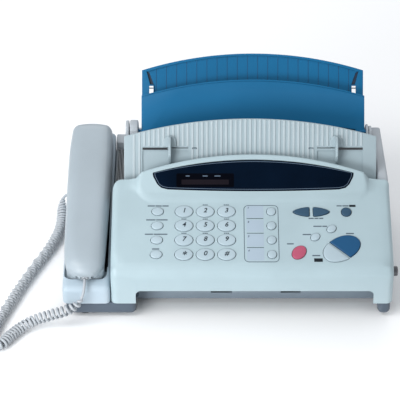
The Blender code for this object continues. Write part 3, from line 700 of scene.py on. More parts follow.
def screws_tree():
    """Cross-recessed screw heads at the corners of a rectangle."""
    given, node, sum_up, vector, end = tree_of("screw_heads", wide=10.0, high=10.0, radius=2.6, head=1.4)
    corners = node("GeometryNodeMeshGrid", {"Size X": given["Wide"], "Size Y": given["High"],
                                            "Vertices X": 2, "Vertices Y": 2})
    head = node("GeometryNodeMeshCone", {"Vertices": 20, "Radius Bottom": given["Radius"], "Depth": given["Head"],
                                         "Radius Top": sum_up("MULTIPLY", given["Radius"], 0.8)})
    arm, thin = (sum_up("MULTIPLY", given["Radius"], share) for share in (1.15, 0.26))
    cross = node("GeometryNodeMeshBoolean", {}, operation="UNION", solver="EXACT")
    for x, y in ((arm, thin), (thin, arm)):
        cube = node("GeometryNodeMeshCube", {"Size": vector(x, y, given["Head"])})
        moved = node("GeometryNodeTransform", {"Geometry": cube.outputs["Mesh"],
                                               "Translation": vector(z=given["Head"])})
        feed(cross, {"Mesh 2": moved.outputs[0]})
    cut = node("GeometryNodeMeshBoolean", {"Mesh 1": head.outputs["Mesh"], "Mesh 2": cross.outputs[0]},
               operation="DIFFERENCE", solver="EXACT")
    return end(corners.outputs["Mesh"], cut.outputs[0])


RIBS, SCREWS = ribs_tree(), screws_tree()


def straight_ribs(finish, length, **values):
    """Ribs that all end on one straight line."""
    flat = 100000.0
    return grown(RIBS, finish, arch_centre=length - flat, arch_radius=flat, **values)


def facing_back(x, y, z, frame=UPRIGHT):
    """The frame turned round to look at the machine from behind, at this place."""
    return shifted(frame, x, y, z) @ Matrix.Rotation(math.pi, 4, "Y")


housing_plastic = moulded("housing_plastic", shade(166, 173, 179), 0.48)
housing = placed(block((COVER_LEFT + 0.5, BODY_RIGHT - 0.5, rear_low + 0.5, 95.5, 2), -BODY_REAR, -(BODY_REAR - 5),
                       0.5, 0.8), UPRIGHT)
shelf = filleted([(96.5, rear_low), (96.5, 66), (181, 79), (182, 86), (rear_in, 88), (rear_in, rear_low)], 1.5)
side_frame = filleted([(96.5, rear_low), (96.5, 96), (104, 97), (rear_in, 97), (rear_in, rear_low)], 3)
left_cheek, right_cheek = (filleted([(161, 70), (161, top - 4.5), (165, top), (175, top), (192, top - 19.5),
                                     (192, 70)], 2.5) for top in (117.5, 112.5))
hopper_floor = [(161, 84), (BODY_REAR - 3, 78), (BODY_REAR - 3, 75), (161, 81)]
for outline, low, high, rim in ((shelf, COVER_LEFT, -105, 1.2), (side_frame, 145.3, BODY_RIGHT, 2.5),
                                (left_cheek, -99.6, -91.2, 1.5), (right_cheek, 138.2, 140.6, 0.8),
                                (hopper_floor, -98, 140.2, 0)):
    housing = joined(housing, placed(plate(outline, low, high, rim, rim), SIDE))
shelf_room = [(99, 0), (99, 62), (180, 75), (BODY_REAR - 6, 75), (BODY_REAR - 6, 0)]
frame_room = [(99, 0), (99, 93), (BODY_REAR - 6, 93), (BODY_REAR - 6, 0)]
louvre_room = [(129, 69.4), (129, 74), (181, 81), (181, 77.6)]
for outline, low, high in ((shelf_room, COVER_LEFT + 2, -107), (frame_room, 147.3, 153.3),
                           (louvre_room, -113, -105.8)):
    housing = boolean(housing, placed(plate(outline, low, high), SIDE))
low_corner = block((COVER_LEFT - 9, -104.6, 87.2, 120), -BODY_REAR - 9, -150)
housing = boolean(housing, placed(low_corner, UPRIGHT))
housing = joined(housing, *[rod(axle(*COVER_PIVOT), 2.6, low, high, 24, 0.4)
                            for low, high in ((-103.8, -95), (139.4, 144.4))])
flap_holes = [rod(axle(*PAPER_COVER_START), 2.4, low, high, 24) for low, high in ((-93.4, -85), (136, 139.4))]
wall_holes = [placed(block((left, right, low, high, 0.8), -BODY_REAR - 4, -BODY_REAR + 9), UPRIGHT)
              for left, right, low, high in ((60, 72, 40, 50), (95, 119, 36, 52))]
housing = boolean(housing, *flap_holes, *wall_holes)
piece("rear_shell", housing, housing_plastic, "base", "housing_plastic", "rear_housing")

LOUVRES = slope(0, 129, 71.2, math.degrees(math.atan(8 / 52)))
louvres = straight_ribs(housing_plastic, 52.2, count=5, start=-112.2, pitch=1.45, width=0.75, height=2.6, foot=0.3)
piece("speaker_louvres", placed(louvres, LOUVRES), housing_plastic, "base", "housing_plastic")
speaker_cloth = moulded("speaker_cloth", (0.012, 0.012, 0.012), 0.9, grain=0.6, grain_size=2600)
cloth = block((-112.9, -105.9, 0.2, 52, 0.5), -1.3, -0.6, 0.2)
piece("speaker_cloth", placed(cloth, LOUVRES), speaker_cloth, "base", "dark_plastic")
speaker = merged(rod(Matrix(), 4.0, -9, -6, 32, 0.3), rod(Matrix(), 3.0, -6.2, -1.5, 32, 0.3))
piece("speaker_driver", placed(speaker, shifted(LOUVRES, -109.4, 26, 0)), dark_plastic, "base", "dark_plastic")

steel = metal("bright_steel", (0.55, 0.56, 0.58), 0.32)
rear_screws = grown(SCREWS, steel, wide=240.0, high=58.0, radius=2.6, head=1.2)
piece("rear_screws", placed(rear_screws, facing_back(20, 57, -BODY_REAR)), steel, "base", "steel")
vents = straight_ribs(housing_plastic, 22, count=16, start=-20.0, pitch=4.0, width=1.6, height=0.8)
piece("rear_ribs", placed(vents, facing_back(-10, 40, -BODY_REAR)), housing_plastic, "base", "housing_plastic")
JACK, INLET = (facing_back(x, z, -BODY_REAR + 8.6) for x, z in ((66, 45), (107, 44)))
jack_frame = boolean(block((-6.5, 6.5, -5.5, 5.5, 0.6), 0, 8, 0.3), block((-4.2, 4.2, -3.4, 3.4), 1.5, 9))
piece("line_jack", placed(jack_frame, JACK), dark_plastic, "base", "dark_plastic")
jack_wires = [block((x - 0.2, x + 0.2, -3.2, 3.2), 2.2, 2.6) for x in (-1.5, -0.5, 0.5, 1.5)]
piece("line_jack_wires", placed(merged(*jack_wires), JACK), contact_gold, "base", "steel")
inlet = boolean(block((-11.6, 11.6, -7.6, 7.6, 1.5), 0, 8, 0.4), block((-10, 10, -6, 6, 2.5), 1.5, 9))
piece("power_inlet", placed(inlet, INLET), dark_plastic, "base", "dark_plastic")
pins = [rod(shifted(Matrix(), x, 0, 0), 1.2, 1.2, 6.5, 20, 0.4) for x in (-4.5, 4.5)]
piece("power_inlet_pins", placed(merged(*pins), INLET), steel, "base", "steel")


# The cover's inner frame
# A dark moulding that swings up with the top cover on the pins of the rear housing. It
# carries the document roller, the scanning unit and the chute under the control panel.
worn_rubber = moulded("roller_rubber", (0.030, 0.030, 0.032), 0.75, grain=0.25, grain_size=900, spread=0.2, worn=0.1)
for finish, node_names in (
        (dark_plastic, ("cover_frame", "scan_unit", "guide_pinion", "ribbon_take_up_spool", "ribbon_supply_spool")),
        (worn_rubber, ("document_roller", "platen_roller")), (steel, ("thermal_head", "drive_motor"))):
    for node_name in node_names:
        dress(frame["nodes"][node_name].data, finish)
left_ear, right_ear = (filleted([(160, 105), (160.5, top - 4), (164.5, top), (175, top), (182, 104)], 1.5)
                       for top in (117, 110.5))
ears = merged(plate(left_ear, -103.6, -100.3, 0.9, 0.9), plate(right_ear, 141.1, 144.2, 0.9, 0.9))
piece("cover_ears", placed(ears, SIDE), housing_plastic, "top_cover", "housing_plastic")
cap_side = filleted([(140, 89), (160, 91), (184, 97), (184, 103.5), (176, 105.6), (128, 102.8)], 1.5)
cheek_caps = merged(*[plate(cap_side, x, x + 0.9, 0.8, 0.8) for x in (-104.2, 143.9)])
piece("cover_cheek_caps", placed(cheek_caps, SIDE), housing_plastic, "top_cover", "housing_plastic")
glass = clear_plastic("scanner_glass", (0.75, 0.82, 0.80), 0.03)
scan_strip = block((-86, 128, 9.5, 14, 0.6), -0.35, -0.1, 0.1)
piece("scan_window", placed(scan_strip, slope(0, 31.5, 45.2, 25)), glass, "top_cover", "window_lens")


# The document tray
# A white ribbed ramp that rises behind the display. Originals lean on it between the two
# guides; its ribs let the sheets slide, and its two smooth pockets hold the guides' tracks.
TRAY = slope(0, 102.0, 90.0, 60)
TRAY_LEFT, TRAY_RIGHT = -103.6, 144.3
MIDDLE = 23.0
GUIDE_X = (-58.7, 104.7)
POCKETS = ((-85.5, -40.5), (86.0, 131.0))
TRACK = (31.8, 34.2)


def circle_through(first, middle, last):
    """Centre and radius of the circle through three points."""
    a, b, c = Vector(first), Vector(middle), Vector(last)
    ab, ac = b - a, c - a
    cross = 2 * (ab.x * ac.y - ab.y * ac.x)
    offset = Vector((ac.y * ab.length_squared - ab.y * ac.length_squared,
                     ab.x * ac.length_squared - ac.x * ab.length_squared)) / cross
    return a + offset, offset.length


def arch(first, middle, last, steps=24):
    """Points of the circle arc from first to last by way of middle."""
    centre, radius = circle_through(first, middle, last)
    start = math.atan2(first[1] - centre.y, first[0] - centre.x)
    over = math.atan2(middle[1] - centre.y, middle[0] - centre.x)
    end = math.atan2(last[1] - centre.y, last[0] - centre.x)
    turn = 2 * math.pi
    sweep = (end - start) % turn
    if (over - start) % turn > sweep:
        sweep -= turn
    angles = [start + sweep * i / steps for i in range(steps + 1)]
    return [(centre.x + radius * math.cos(t), centre.y + radius * math.sin(t)) for t in angles]


tray_ends = ((TRAY_RIGHT, 45.2), (22, 62.6), (TRAY_LEFT, 45.2))
tray_outline = [(TRAY_LEFT, -2), (TRAY_RIGHT, -2)] + arch(*tray_ends, 48)
tray = plate(tray_outline, -2.5, 0, 0.9, 0.6)
for low, high in POCKETS:
    guide_x, outer = (GUIDE_X[0], low) if low < 0 else (GUIDE_X[1], high)
    tray = boolean(tray, block((low, high, 10, TRACK[0] - 0.5, 1.0), -1.2, 6),
                   block((*sorted((outer, guide_x)), *TRACK), -6, 6),
                   block((low, high, TRACK[1] - 0.9, TRACK[1]), -6, 6))
tray_plastic = moulded("tray_plastic", shade(150, 166, 172), 0.46)
piece("document_ramp", placed(tray, TRAY), tray_plastic, "top_cover", "tray_plastic", "document_tray")

arch_centre, arch_radius = circle_through(*tray_ends)
RIB_PITCH = 4.73
rib_areas = []
for start, count, pitch, foot in ((-93.9, 2, 5.4, 0.5), (-83.7, 10, RIB_PITCH, TRACK[1] + 1.6),
                                  (-36.4, 26, RIB_PITCH, 0.5), (86.6, 10, RIB_PITCH, TRACK[1] + 1.6)):
    rib_areas.append(grown(RIBS, tray_plastic, count=count, start=start, pitch=pitch, width=3.1, height=1.3,
                           foot=foot, arch_middle=arch_centre.x, arch_centre=arch_centre.y - 0.7,
                           arch_radius=arch_radius))
piece("ramp_ribs", placed(merged(*rib_areas), TRAY), tray_plastic, "top_cover", "tray_plastic")
left_mark, right_mark = POCKETS[0][1] + 6, POCKETS[1][0] - 6
hooks = [block((x - 2.2, x + 2.2, 33.4, 34.2), 0, 0.9, 0.2) for x in (left_mark, right_mark)]
hooks += [block((x - 0.35, x + 0.35, 32.6, 34.2), 0, 0.9, 0.2)
          for x in (left_mark - 2, left_mark + 2, right_mark - 2, right_mark + 2)]
grey_ink = moulded("grey_ink", shade(84, 96, 106), 0.6, grain=0.02, spread=0.1, shine=0.2, worn=0)
piece("track_marks", placed(merged(*hooks), TRAY), grey_ink, "top_cover", "tray_plastic")


# The two document guides
# White slides that close in on the sheet from both sides: a round tab with an upright fin,
# and behind the ramp a toothed rack each, which one small pinion keeps in step.
track_middle = sum(TRACK) / 2
SIDEWAYS = Matrix(((0, 0, 1, 0), (1, 0, 0, 0), (0, 1, 0, 0), (0, 0, 0, 1)))
for guide_name, x, side in (("document_guide_left", GUIDE_X[0], 1), ("document_guide_right", GUIDE_X[1], -1)):
    tab_outline = [(x + 6.2, 34.6)] + arch((x + 6.2, 39), (x, 46), (x - 6.2, 39), 16) + [(x - 6.2, 34.6)]
    guide = plate(tab_outline, 0.3, 2.2, 0.7)
    fin_side = filleted([(17, 0.4), (45.5, 0.4), (44.5, 8), (38, 12), (26, 10.5), (17, 2.0)], 2.5)
    fin = plate(fin_side, x - 1.2, x + 1.2, 0.4, 0.4)
    stem = block((x - 1.3, x + 1.3, track_middle + 0.45, track_middle + 1.05), -5.4, 1.5)
    tongue = block((x - 1.1, x + 1.1, track_middle + 0.6, 36), 0.35, 2.0)
    ends = sorted((x - 2.5 * side, x + 109 * side))
    rack_y = track_middle - 6.1 * side
    rack = block((*ends, rack_y - 1.2, rack_y + 1.2), -6.0, -3.2, 0.2, 0.2)
    link = sorted((rack_y, track_middle))
    bridge = block((x - 2.4, x + 2.4, link[0] - 1, link[1] + 0.7), -5.7, -3.5)
    guide = joined(guide, placed(fin, SIDEWAYS), tongue, stem, rack, bridge)
    piece(guide_name + "_slide", placed(guide, TRAY), tray_plastic, guide_name, "tray_plastic", guide_name)


# The control panel
# The white front cover that lifts over the document path: a sloping face with a rolled
# front edge, a skirt round the paper's exit and a raised frame for the display, one shell.
PANEL_START, PANEL_SLOPE = (4.0, 58.5), 25.0
PANEL = slope(0, *PANEL_START, PANEL_SLOPE)
DISPLAY_START, DISPLAY_SLOPE = (73.7, 91.0), 40.0
DISPLAY = slope(0, *DISPLAY_START, DISPLAY_SLOPE)
PANEL_END, RIDGE = 93.5, 108.3
SKIRT_BOTTOM = 18.2
panel_rise, display_rise = (math.tan(math.radians(a)) for a in (PANEL_SLOPE, DISPLAY_SLOPE))
panel_plan = (quarter(BODY_RIGHT - 6, 6, 6, -90) + quarter(BODY_RIGHT - 5, PANEL_END - 5, 5, 0)
              + arch((132, 94), (MIDDLE, RIDGE), (-88, 94), 40)
              + quarter(COVER_LEFT + 9, PANEL_END - 9, 9, 90, 7) + quarter(COVER_LEFT + 6, 6, 6, 180))


def eased(low, high, value):
    t = min(max((value - low) / (high - low), 0), 1)
    return t * t * (3 - 2 * t)


def blended_lower(a, b, radius):
    """The lower of two heights, with the crease between them rounded."""
    h = max(radius - abs(a - b), 0) / radius
    return min(a, b) - h * h * radius / 4


def raised_frame(x, y):
    """How far the point lies inside the display frame's foot, whose front corners are round."""
    corner, left, right, front = 19.0, -92.5, 136.5, 68.5
    inward = min(x - left, right - x)
    if y - front < corner and inward < corner:
        return corner - math.hypot(corner - inward, corner - (y - front))
    return min(inward, y - front)


def panel_top(x, y, distance):
    flat = PANEL_START[1] + (y - PANEL_START[0]) * panel_rise
    lift = DISPLAY_START[1] + (y - DISPLAY_START[0]) * display_rise - flat
    lift = 1.4 + ((lift - 1.4) + math.sqrt((lift - 1.4) ** 2 + 0.5)) / 2
    within = raised_frame(x, y)
    bank = max(within, 0) * (0.45 + 0.75 * eased(74, 88, y))
    raised = max(blended_lower(lift, bank, 1.6), 0) if within > 0 else 0
    front = 10.0 - 4.0 * eased(8, 20, y)
    radius = front + (2.2 - front) * eased(84, 93, y)
    return flat + raised - rolled(distance, radius)


panel_columns = (steps_between(-68, 112, 44) + steps_between(-93, -68, 16) + steps_between(112, 137, 16)
                 + [-106, -99, 144])
panel_rows = steps_between(0, 66, 22) + steps_between(67, 90, 21) + steps_between(90, RIDGE, 9) + [6.4, 8.4]
panel_shell = draped(panel_plan, (0, 0.25, 0.7, 1.4, 2.2, 3.4, 4.8), panel_columns, panel_rows, panel_top,
                     SKIRT_BOTTOM)


def panel_under(x, y, distance):
    """The shell's inner face, 2.7 mm below its outer one."""
    return panel_top(x, y, 99) - 2.7 - rolled(distance, 5.5)


panel_room = draped(outset(panel_plan, -2.5), (0, 2.2), steps_between(COVER_LEFT, BODY_RIGHT, 50),
                    steps_between(0, RIDGE, 26), panel_under, 0)
rear_gap = plate([(PANEL_END, 0), (PANEL_END, 92), (PANEL_END + 6, 95.5), (120, 95.5), (120, 0)], -200, 200)
corner_room = block((COVER_LEFT + 2.6, BODY_RIGHT - 2.6, 80, 120), 0, 88)
exit_arch = block((LEG_LEFT_INNER, 137.0, -5, 33.0, 5), -12, 12)
panel_shell = boolean(panel_shell, panel_room, placed(rear_gap, SIDEWAYS), corner_room,
                      placed(exit_arch, ELEVATION))
TO_PLAN = PLAN.inverted()


def in_plan(mesh, frame_of_mesh):
    """The mesh moved from its own frame to the plan's."""
    return placed(mesh, TO_PLAN @ frame_of_mesh)


def lens_outline(inset=0.0):
    top = arch((120.6 - inset, 25.2), (MIDDLE, 38.3 - inset), (-75.0 + inset, 25.2), 28)
    foot = arch((-60, 8.4 + inset), (MIDDLE, 6.6 + inset), (106, 8.4 + inset), 16)
    left = [(-74.2 + inset, 21.0), (-70.3 + inset, 13.5), (-66.4 + inset * 0.8, 10.0 + inset * 0.7)]
    right = [(112.2 - inset * 0.8, 10.0 + inset * 0.7), (116.0 - inset, 13.5), (119.8 - inset, 21.0)]
    return filleted(top + left + foot + right, 1.2, 3)


RELEASE = (18.7, 43.0)
release_hole = plate([(5.2 * math.cos(math.pi * i / 16), 5.2 * math.sin(math.pi * i / 16)) for i in range(32)],
                     BODY_RIGHT - 8, BODY_RIGHT + 8)
panel_shell = boolean(panel_shell, in_plan(plate(lens_outline(-0.35), -2.2, 14), DISPLAY),
                      in_plan(block((-52, 4, 10.5, 26), -9, 9), DISPLAY), in_plan(release_hole, axle(*RELEASE)))


# The keys' holes in the panel
# Each cap stands in a hole with about 0.5 mm to spare all round, so a dark line shows round it.
KEY_COLUMNS = (-44.4, -24.0, -3.6)
KEY_ROWS = (60.9, 45.1, 29.3, 13.5)
KEY_BELOW, KEY_ABOVE = -4.6, 1.5


def ellipse(x, y, wide, high, steps=40, turn=0):
    around = Matrix.Rotation(math.radians(turn), 2)
    angles = [2 * math.pi * i / steps for i in range(steps)]
    points = [around @ Vector((wide * math.cos(a), high * math.sin(a))) for a in angles]
    return [(x + p.x, y + p.y) for p in points]


def fan(x, y, side):
    """One part of the tilted start and copy oval, which is split across."""
    start = [(-9.8, 8.3), (-4, 12.4), (2, 14.9), (8, 15.7), (13.6, 14.6), (17.6, 11.4), (19.2, 7), (18.2, 2),
             (15.4, -2.6), (12.2, -5.7), (9.4, -8.0)]
    copy = [(8.3, -9.0), (5, -10.7), (-1, -12.4), (-6.4, -12.8), (-11.2, -11.6), (-14.6, -8.4), (-16, -4),
            (-15.6, 0), (-13.6, 4), (-10.8, 7.2)]
    points = start if side > 0 else copy
    smooth = smooth_route([(px, py, 0) for px, py in points], 4)
    return [(x + p.x, y + p.y) for p in reversed(smooth)]


def arrow(x, y, side):
    shape = [(-9, 0), (-5, -2.5), (0, -4.1), (5, -5.0), (7.6, -5.0), (7.6, 5.0), (5, 5.0), (0, 4.1), (-5, 2.5)]
    return filleted([(x - side * px, y + py) for px, py in shape][::-side], 1.1, 3)


keys = {}
KEY_NAMES = ("1", "2", "3", "4", "5", "6", "7", "8", "9", "star", "0", "hash")
for i, key_name in enumerate(KEY_NAMES):
    keys["key_" + key_name] = ellipse(KEY_COLUMNS[i % 3], KEY_ROWS[i // 3], 8.6, 6.2)
for i, row in enumerate(KEY_ROWS):
    keys[f"function_key_{i + 1}"] = ellipse(-69.8 - 0.3 * i, row, 5.6, 4.2)
    keys[f"one_touch_key_{i + 1}"] = ellipse(39.6, row, 4.3, 4.3)
keys["arrow_key_left"] = arrow(68.8, 60.6, -1)
keys["arrow_key_right"] = arrow(87.8, 60.6, 1)
keys["menu_key"] = ellipse(112.1, 60.4, 4.8, 4.8)
keys["resolution_key"] = ellipse(97.2, 41.6, 4.7, 3.7, turn=35)
keys["mode_key"] = ellipse(81.3, 32.6, 4.7, 3.7, turn=35)
keys["stop_key"] = ellipse(65.4, 15.7, 7.9, 6.0, turn=50)
keys["start_key"] = fan(104.8, 18.6, 1)
keys["copy_key"] = fan(104.4, 18.2, -1)
for name, outline in keys.items():
    if area_of(outline) < 0:
        keys[name] = list(reversed(outline))
lone = [plate(outset(outline, 0.55), -9, 9) for name, outline in keys.items() if name != "copy_key"]
panel_shell = boolean(panel_shell, in_plan(merged(*lone), PANEL),
                      in_plan(plate(outset(keys["copy_key"], 0.5), -9, 9), PANEL))
panel_plastic = moulded("panel_plastic", shade(161, 180, 186), 0.42)
piece("panel_cover", placed(panel_shell, PLAN), panel_plastic, "control_panel", "cover_plastic",
      "control_panel", sharp=40)


# The keys
# Moulded caps with softly domed tops, each pushed up by a rubber spring on the board: white
# ones with printed figures, blue ones for the menu, arrows and start, and a rose one for stop.
key_plastic = moulded("key_plastic", shade(164, 181, 189), 0.36, grain=0.04)
blue_keys = moulded("key_blue", shade(48, 76, 98), 0.38, grain=0.05, shine=0.25, worn=0.2)
start_blue = moulded("start_blue", shade(29, 77, 115), 0.34, grain=0.04, shine=0.2, worn=0.1)
rose = moulded("key_rose", shade(170, 80, 104), 0.38, grain=0.05, shine=0.3, worn=0.2)
key_finishes = {"arrow_key_left": blue_keys, "arrow_key_right": blue_keys, "menu_key": blue_keys,
                "start_key": start_blue, "stop_key": rose}
key_slots = {"stop_key": "key_pink", "arrow_key_left": "key_blue", "arrow_key_right": "key_blue",
             "menu_key": "key_blue", "start_key": "key_blue"}
for name, outline in keys.items():
    cap = plate(outline, KEY_BELOW, KEY_ABOVE, 0.7, 0.2, 0.35)
    piece(name + "_cap", placed(cap, PANEL), key_finishes.get(name, key_plastic), name,
          key_slots.get(name, "key_plastic"), name, sharp=50)


# The figures on the keys
# Dark printed figures, a little above each white cap's middle, with the star and the square.
key_ink = moulded("key_ink", shade(38, 46, 54), 0.5, grain=0.02, spread=0.1, shine=0.2, worn=0)


def figure(text, size, x, y, z, thick=0.05):
    """A printed character as a mesh, centred on the place."""
    curve = bpy.data.curves.new("figure", "FONT")
    curve.body = text
    curve.size = size
    curve.align_x, curve.align_y = "CENTER", "CENTER"
    curve.extrude = thick
    curve.offset = 0.14
    curve.shear = 0.22
    holder = shown("figure", curve)
    graph = bpy.context.evaluated_depsgraph_get()
    mesh = bpy.data.meshes.new_from_object(holder.evaluated_get(graph))
    bpy.data.objects.remove(holder)
    bpy.data.curves.remove(curve)
    return placed(mesh, Matrix.Translation((x, y, z)))


for i, name in enumerate(KEY_NAMES):
    text = {"star": "*", "hash": "#"}.get(name, name)
    size, rise = (9.5, -1.2) if text == "*" else (6.8, 0.5)
    printed = figure(text, size, KEY_COLUMNS[i % 3], KEY_ROWS[i // 3] + rise, KEY_ABOVE)
    piece(f"figure_{name}", placed(printed, PANEL), key_ink, "key_" + name, "key_plastic")


# The panel's printing
# Ink on the panel's face: short plain dashes where a maker would put words, the line round
# the one-touch keys with its four label strips, and two small dark boxes.
INK = 0.05


def dashes(x, y, widths, tall=1.3, gap=0.6, turn=0):
    """A row of plain dashes of these widths, centred on the place."""
    total = sum(widths) + gap * (len(widths) - 1)
    left, marks = -total / 2, []
    for wide in widths:
        marks.append(block((left, left + wide, -tall / 2, tall / 2), -0.05, INK))
        left += wide + gap
    return placed(merged(*marks), Matrix.Translation((x, y, 0)) @ Matrix.Rotation(math.radians(turn), 4, "Z"))


legends = [dashes(-69.5, 67.3, (7, 6, 6)), dashes(-70.5, 51.7, (9, 11)), dashes(-71.0, 35.8, (8, 13)),
           dashes(-71.3, 19.6, (7,)),
           dashes(108.8, 67.4, (5, 6)), dashes(86.4, 44.6, (8, 4.5)), dashes(73.3, 35.5, (8,)),
           dashes(57.2, 25.2, (6.5,)), dashes(81.6, 12.4, (7.5,)), dashes(114.6, 36.6, (7.5,)),
           dashes(82.6, 53.4, (5, 4, 4))]
for i, row in enumerate(KEY_ROWS):
    for k, column in enumerate(KEY_COLUMNS):
        if (i, k) != (0, 0) and i < 3:
            legends.append(dashes(column, row + 7.6, (1.4, 1.4, 1.4), tall=1.0, gap=0.35))
piece("panel_legends", placed(merged(*legends), PANEL), grey_ink, "control_panel", "cover_plastic")
boxes = [block(sides, -0.05, INK) for sides in ((115.2, 121.4, 66.2, 68.6), (79.4, 87.6, 5.6, 9.4))]
black_ink = moulded("black_ink", shade(24, 30, 36), 0.5, grain=0.02, spread=0.1, shine=0.2, worn=0)
piece("panel_ink_boxes", placed(merged(*boxes), PANEL), black_ink, "control_panel", "cover_plastic")


def ring(outline, wide, low, high):
    """A flat line of that width along the inside of the outline."""
    shape = bmesh.new()
    loops = [[shape.verts.new((x, y, z)) for x, y in outset(outline, -inset)]
             for inset, z in ((0, low), (0, high), (wide, high), (wide, low))]
    bands(shape, loops + loops[:1])
    return mesh_of(shape)


label_frame = ring(rectangle(13.0, 46.6, 5.2, 68.2, 4.5), 0.7, -0.05, INK)
separators = [block((15.8, 32.0, y - 0.4, y + 0.4), -0.05, INK + 0.02) for y in (53.2, 36.9, 21.2)]
piece("one_touch_frame", placed(merged(label_frame, *separators), PANEL), grey_ink, "control_panel",
      "cover_plastic")
label_blue = moulded("label_blue", shade(157, 173, 186), 0.5, grain=0.03, worn=0)
strips = [block((15.6, 32.2, y - 6.6, y + 6.6, 0.5), -0.05, INK) for y in (60.9, 45.1, 29.2, 13.8)]
piece("one_touch_labels", placed(merged(*strips), PANEL), label_blue, "control_panel", "cover_plastic")
numbers = [figure(str(i + 1), 2.6, 17.4, (65.2, 49.4, 33.4, 17.6)[i], INK) for i in range(4)]
piece("one_touch_numbers", placed(merged(*numbers), PANEL), grey_ink, "control_panel", "cover_plastic")

# The display window
# A smoked, glossy lens snapped into the frame over the liquid-crystal display. A fine pale
# line is printed inside its rim, and the display's dark glass shows faintly through it.
smoked = moulded("smoked_lens", shade(2, 15, 30), 0.12, grain=0.01, grain_size=300, spread=0.25, shine=0.03,
                 worn=0.03)
lens = plate(lens_outline(), -1.9, -0.3, 0.7)
piece("display_lens", placed(lens, DISPLAY), smoked, "control_panel", "window_lens", "lcd_window")
pale_line = moulded("pale_line", shade(84, 102, 120), 0.4, grain=0.02, spread=0.12, worn=0)
lens_line = ring(lens_outline(1.5), 0.45, -0.36, -0.25)
piece("lens_line", placed(lens_line, DISPLAY), pale_line, "control_panel", "window_lens")
dark_glass = moulded("display_glass", shade(2, 4, 12), 0.1, grain=0.01, spread=0.4, shine=0.03, worn=0)
glass_plate = block((-52, 4, 10.5, 24.5, 1.0), -0.45, -0.27)
piece("display_glass", placed(glass_plate, DISPLAY), dark_glass, "control_panel", "window_lens")
row_grey = moulded("display_row", shade(24, 20, 26), 0.3, grain=0.02, spread=0.2, shine=0.05, worn=0)
piece("display_row", placed(block((-47, -1, 13.2, 18.2, 0.5), -0.3, -0.24), DISPLAY), row_grey,
      "control_panel", "window_lens")
marks = [block((x - w / 2, x + w / 2, 21.4, 22.3, 0.4), -0.3, -0.22) for x, w in ((-41, 4), (-24, 5), (-12, 6))]
piece("display_marks", placed(merged(*marks), DISPLAY), pale_line, "control_panel", "window_lens")


# The release button
# A dark round button in the right side that unlatches the panel, with a ribbed rim.
button = rod(axle(*RELEASE), 4.8, 149, 160.5, 48, 1.2)
for reach in (156.6, 157.8, 159.0):
    core = rod(axle(*RELEASE), 4.45, reach - 1, reach + 2, 48)
    button = boolean(button, boolean(rod(axle(*RELEASE), 5.4, reach, reach + 0.5, 48), core))
knob_plastic = moulded("knob_plastic", shade(84, 84, 90), 0.45, grain=0.1, spread=0.1)
piece("release_knob", button, knob_plastic, "release_button", "dark_plastic", "release_button")


# The paper cover
# A blue flap over the copy paper, hinged low on two pins between the hopper's cheeks; its
# front edge is cut in an arch, and a fine step runs under its arched top.
PAPER_COVER = slope(0, 168.0, 108.0, 55)
BLUE_LEFT, BLUE_RIGHT, BLUE_MIDDLE = -88.0, 136.8, 24.4
blue_plastic = moulded("blue_plastic", (0.004, 0.120, 0.265), 0.45, grain=0.12, shine=0.2, worn=0.2)
cover_top = arch((BLUE_RIGHT, 36), (BLUE_MIDDLE, 52.3), (BLUE_LEFT, 36), 40)
cover_low = arch((BLUE_LEFT + 9, 2), (BLUE_MIDDLE, 9), (BLUE_RIGHT - 9, 2), 24)
flap = plate([(BLUE_LEFT, -3), (BLUE_LEFT + 9, -3)] + cover_low + [(BLUE_RIGHT - 9, -3), (BLUE_RIGHT, -3)]
             + cover_top, -1.3, 1.3, 0.5, 0.5)
step_top = arch((BLUE_RIGHT + 1, 34.6), (BLUE_MIDDLE, 50.9), (BLUE_LEFT - 1, 34.6), 40)
step_low = arch((BLUE_LEFT - 1, 34.0), (BLUE_MIDDLE, 50.3), (BLUE_RIGHT + 1, 34.0), 40)
flap = placed(boolean(flap, plate(step_top + step_low, 0.7, 3)), PAPER_COVER)
flap = joined(flap, *[rod(axle(*PAPER_COVER_START), 2.0, low, high, 24, 0.3)
                      for low, high in ((-93.0, BLUE_LEFT + 5), (BLUE_RIGHT - 5, 139.0))])
piece("paper_flap", flap, blue_plastic, "paper_cover", "blue_plastic", "paper_cover")


# The paper support
# The taller blue plate behind the cover that the copy paper leans on. Its face is sunk
# inside an arched rim, with fine lines that are low ribs in a darker blue, painted groove
# shade, two slanted slots whose dark blue floors are painted shade, and two square holes.
SUPPORT = slope(0, 182.0, 103.0, 57)
support_top = arch((BLUE_RIGHT, 59), (BLUE_MIDDLE, 76), (BLUE_LEFT, 59), 48)
support_outline = [(BLUE_LEFT + 3, -12), (BLUE_RIGHT - 3, -12), (BLUE_RIGHT, 30)] + support_top + [(BLUE_LEFT, 30)]
back_plate = plate(support_outline, -3.2, 0, 0.6, 0.6)
sunk_top = arch((BLUE_RIGHT - 4.5, 57.4), (BLUE_MIDDLE, 73.9), (BLUE_LEFT + 4.5, 57.4), 48)
sunk = plate([(BLUE_LEFT + 12.2, 8), (BLUE_RIGHT - 12.2, 8), (BLUE_RIGHT - 12.2, 43)] + sunk_top
             + [(BLUE_LEFT + 12.2, 43)], -1.5, 4)
back_plate = boolean(back_plate, sunk)
# Each slanted slot gets a dark blue sheet on its floor, painted shade for the shadowed slot; a bar of the same dark
# blue crosses each square hole.
slot_shades_and_bars = []
for side, edge in ((1, BLUE_LEFT), (-1, BLUE_RIGHT)):
    hole = block((*sorted((edge + 7.4 * side, edge + 11.6 * side)), 35.6, 43.2, 0.3), -9, 9)
    slot = [(edge + reach * side, y) for reach, y in ((4.6, 58.2), (7.6, 56.4), (12.0, 44.4), (8.2, 44.4))]
    back_plate = boolean(back_plate, hole, plate(slot, -2.6, 9))
    slot_shades_and_bars.append(plate(slot, -2.7, -2.4))
    slot_shades_and_bars.append(block((*sorted((edge + 7.3 * side, edge + 11.7 * side)), 40.4, 41.4), -2.8, -1.6))
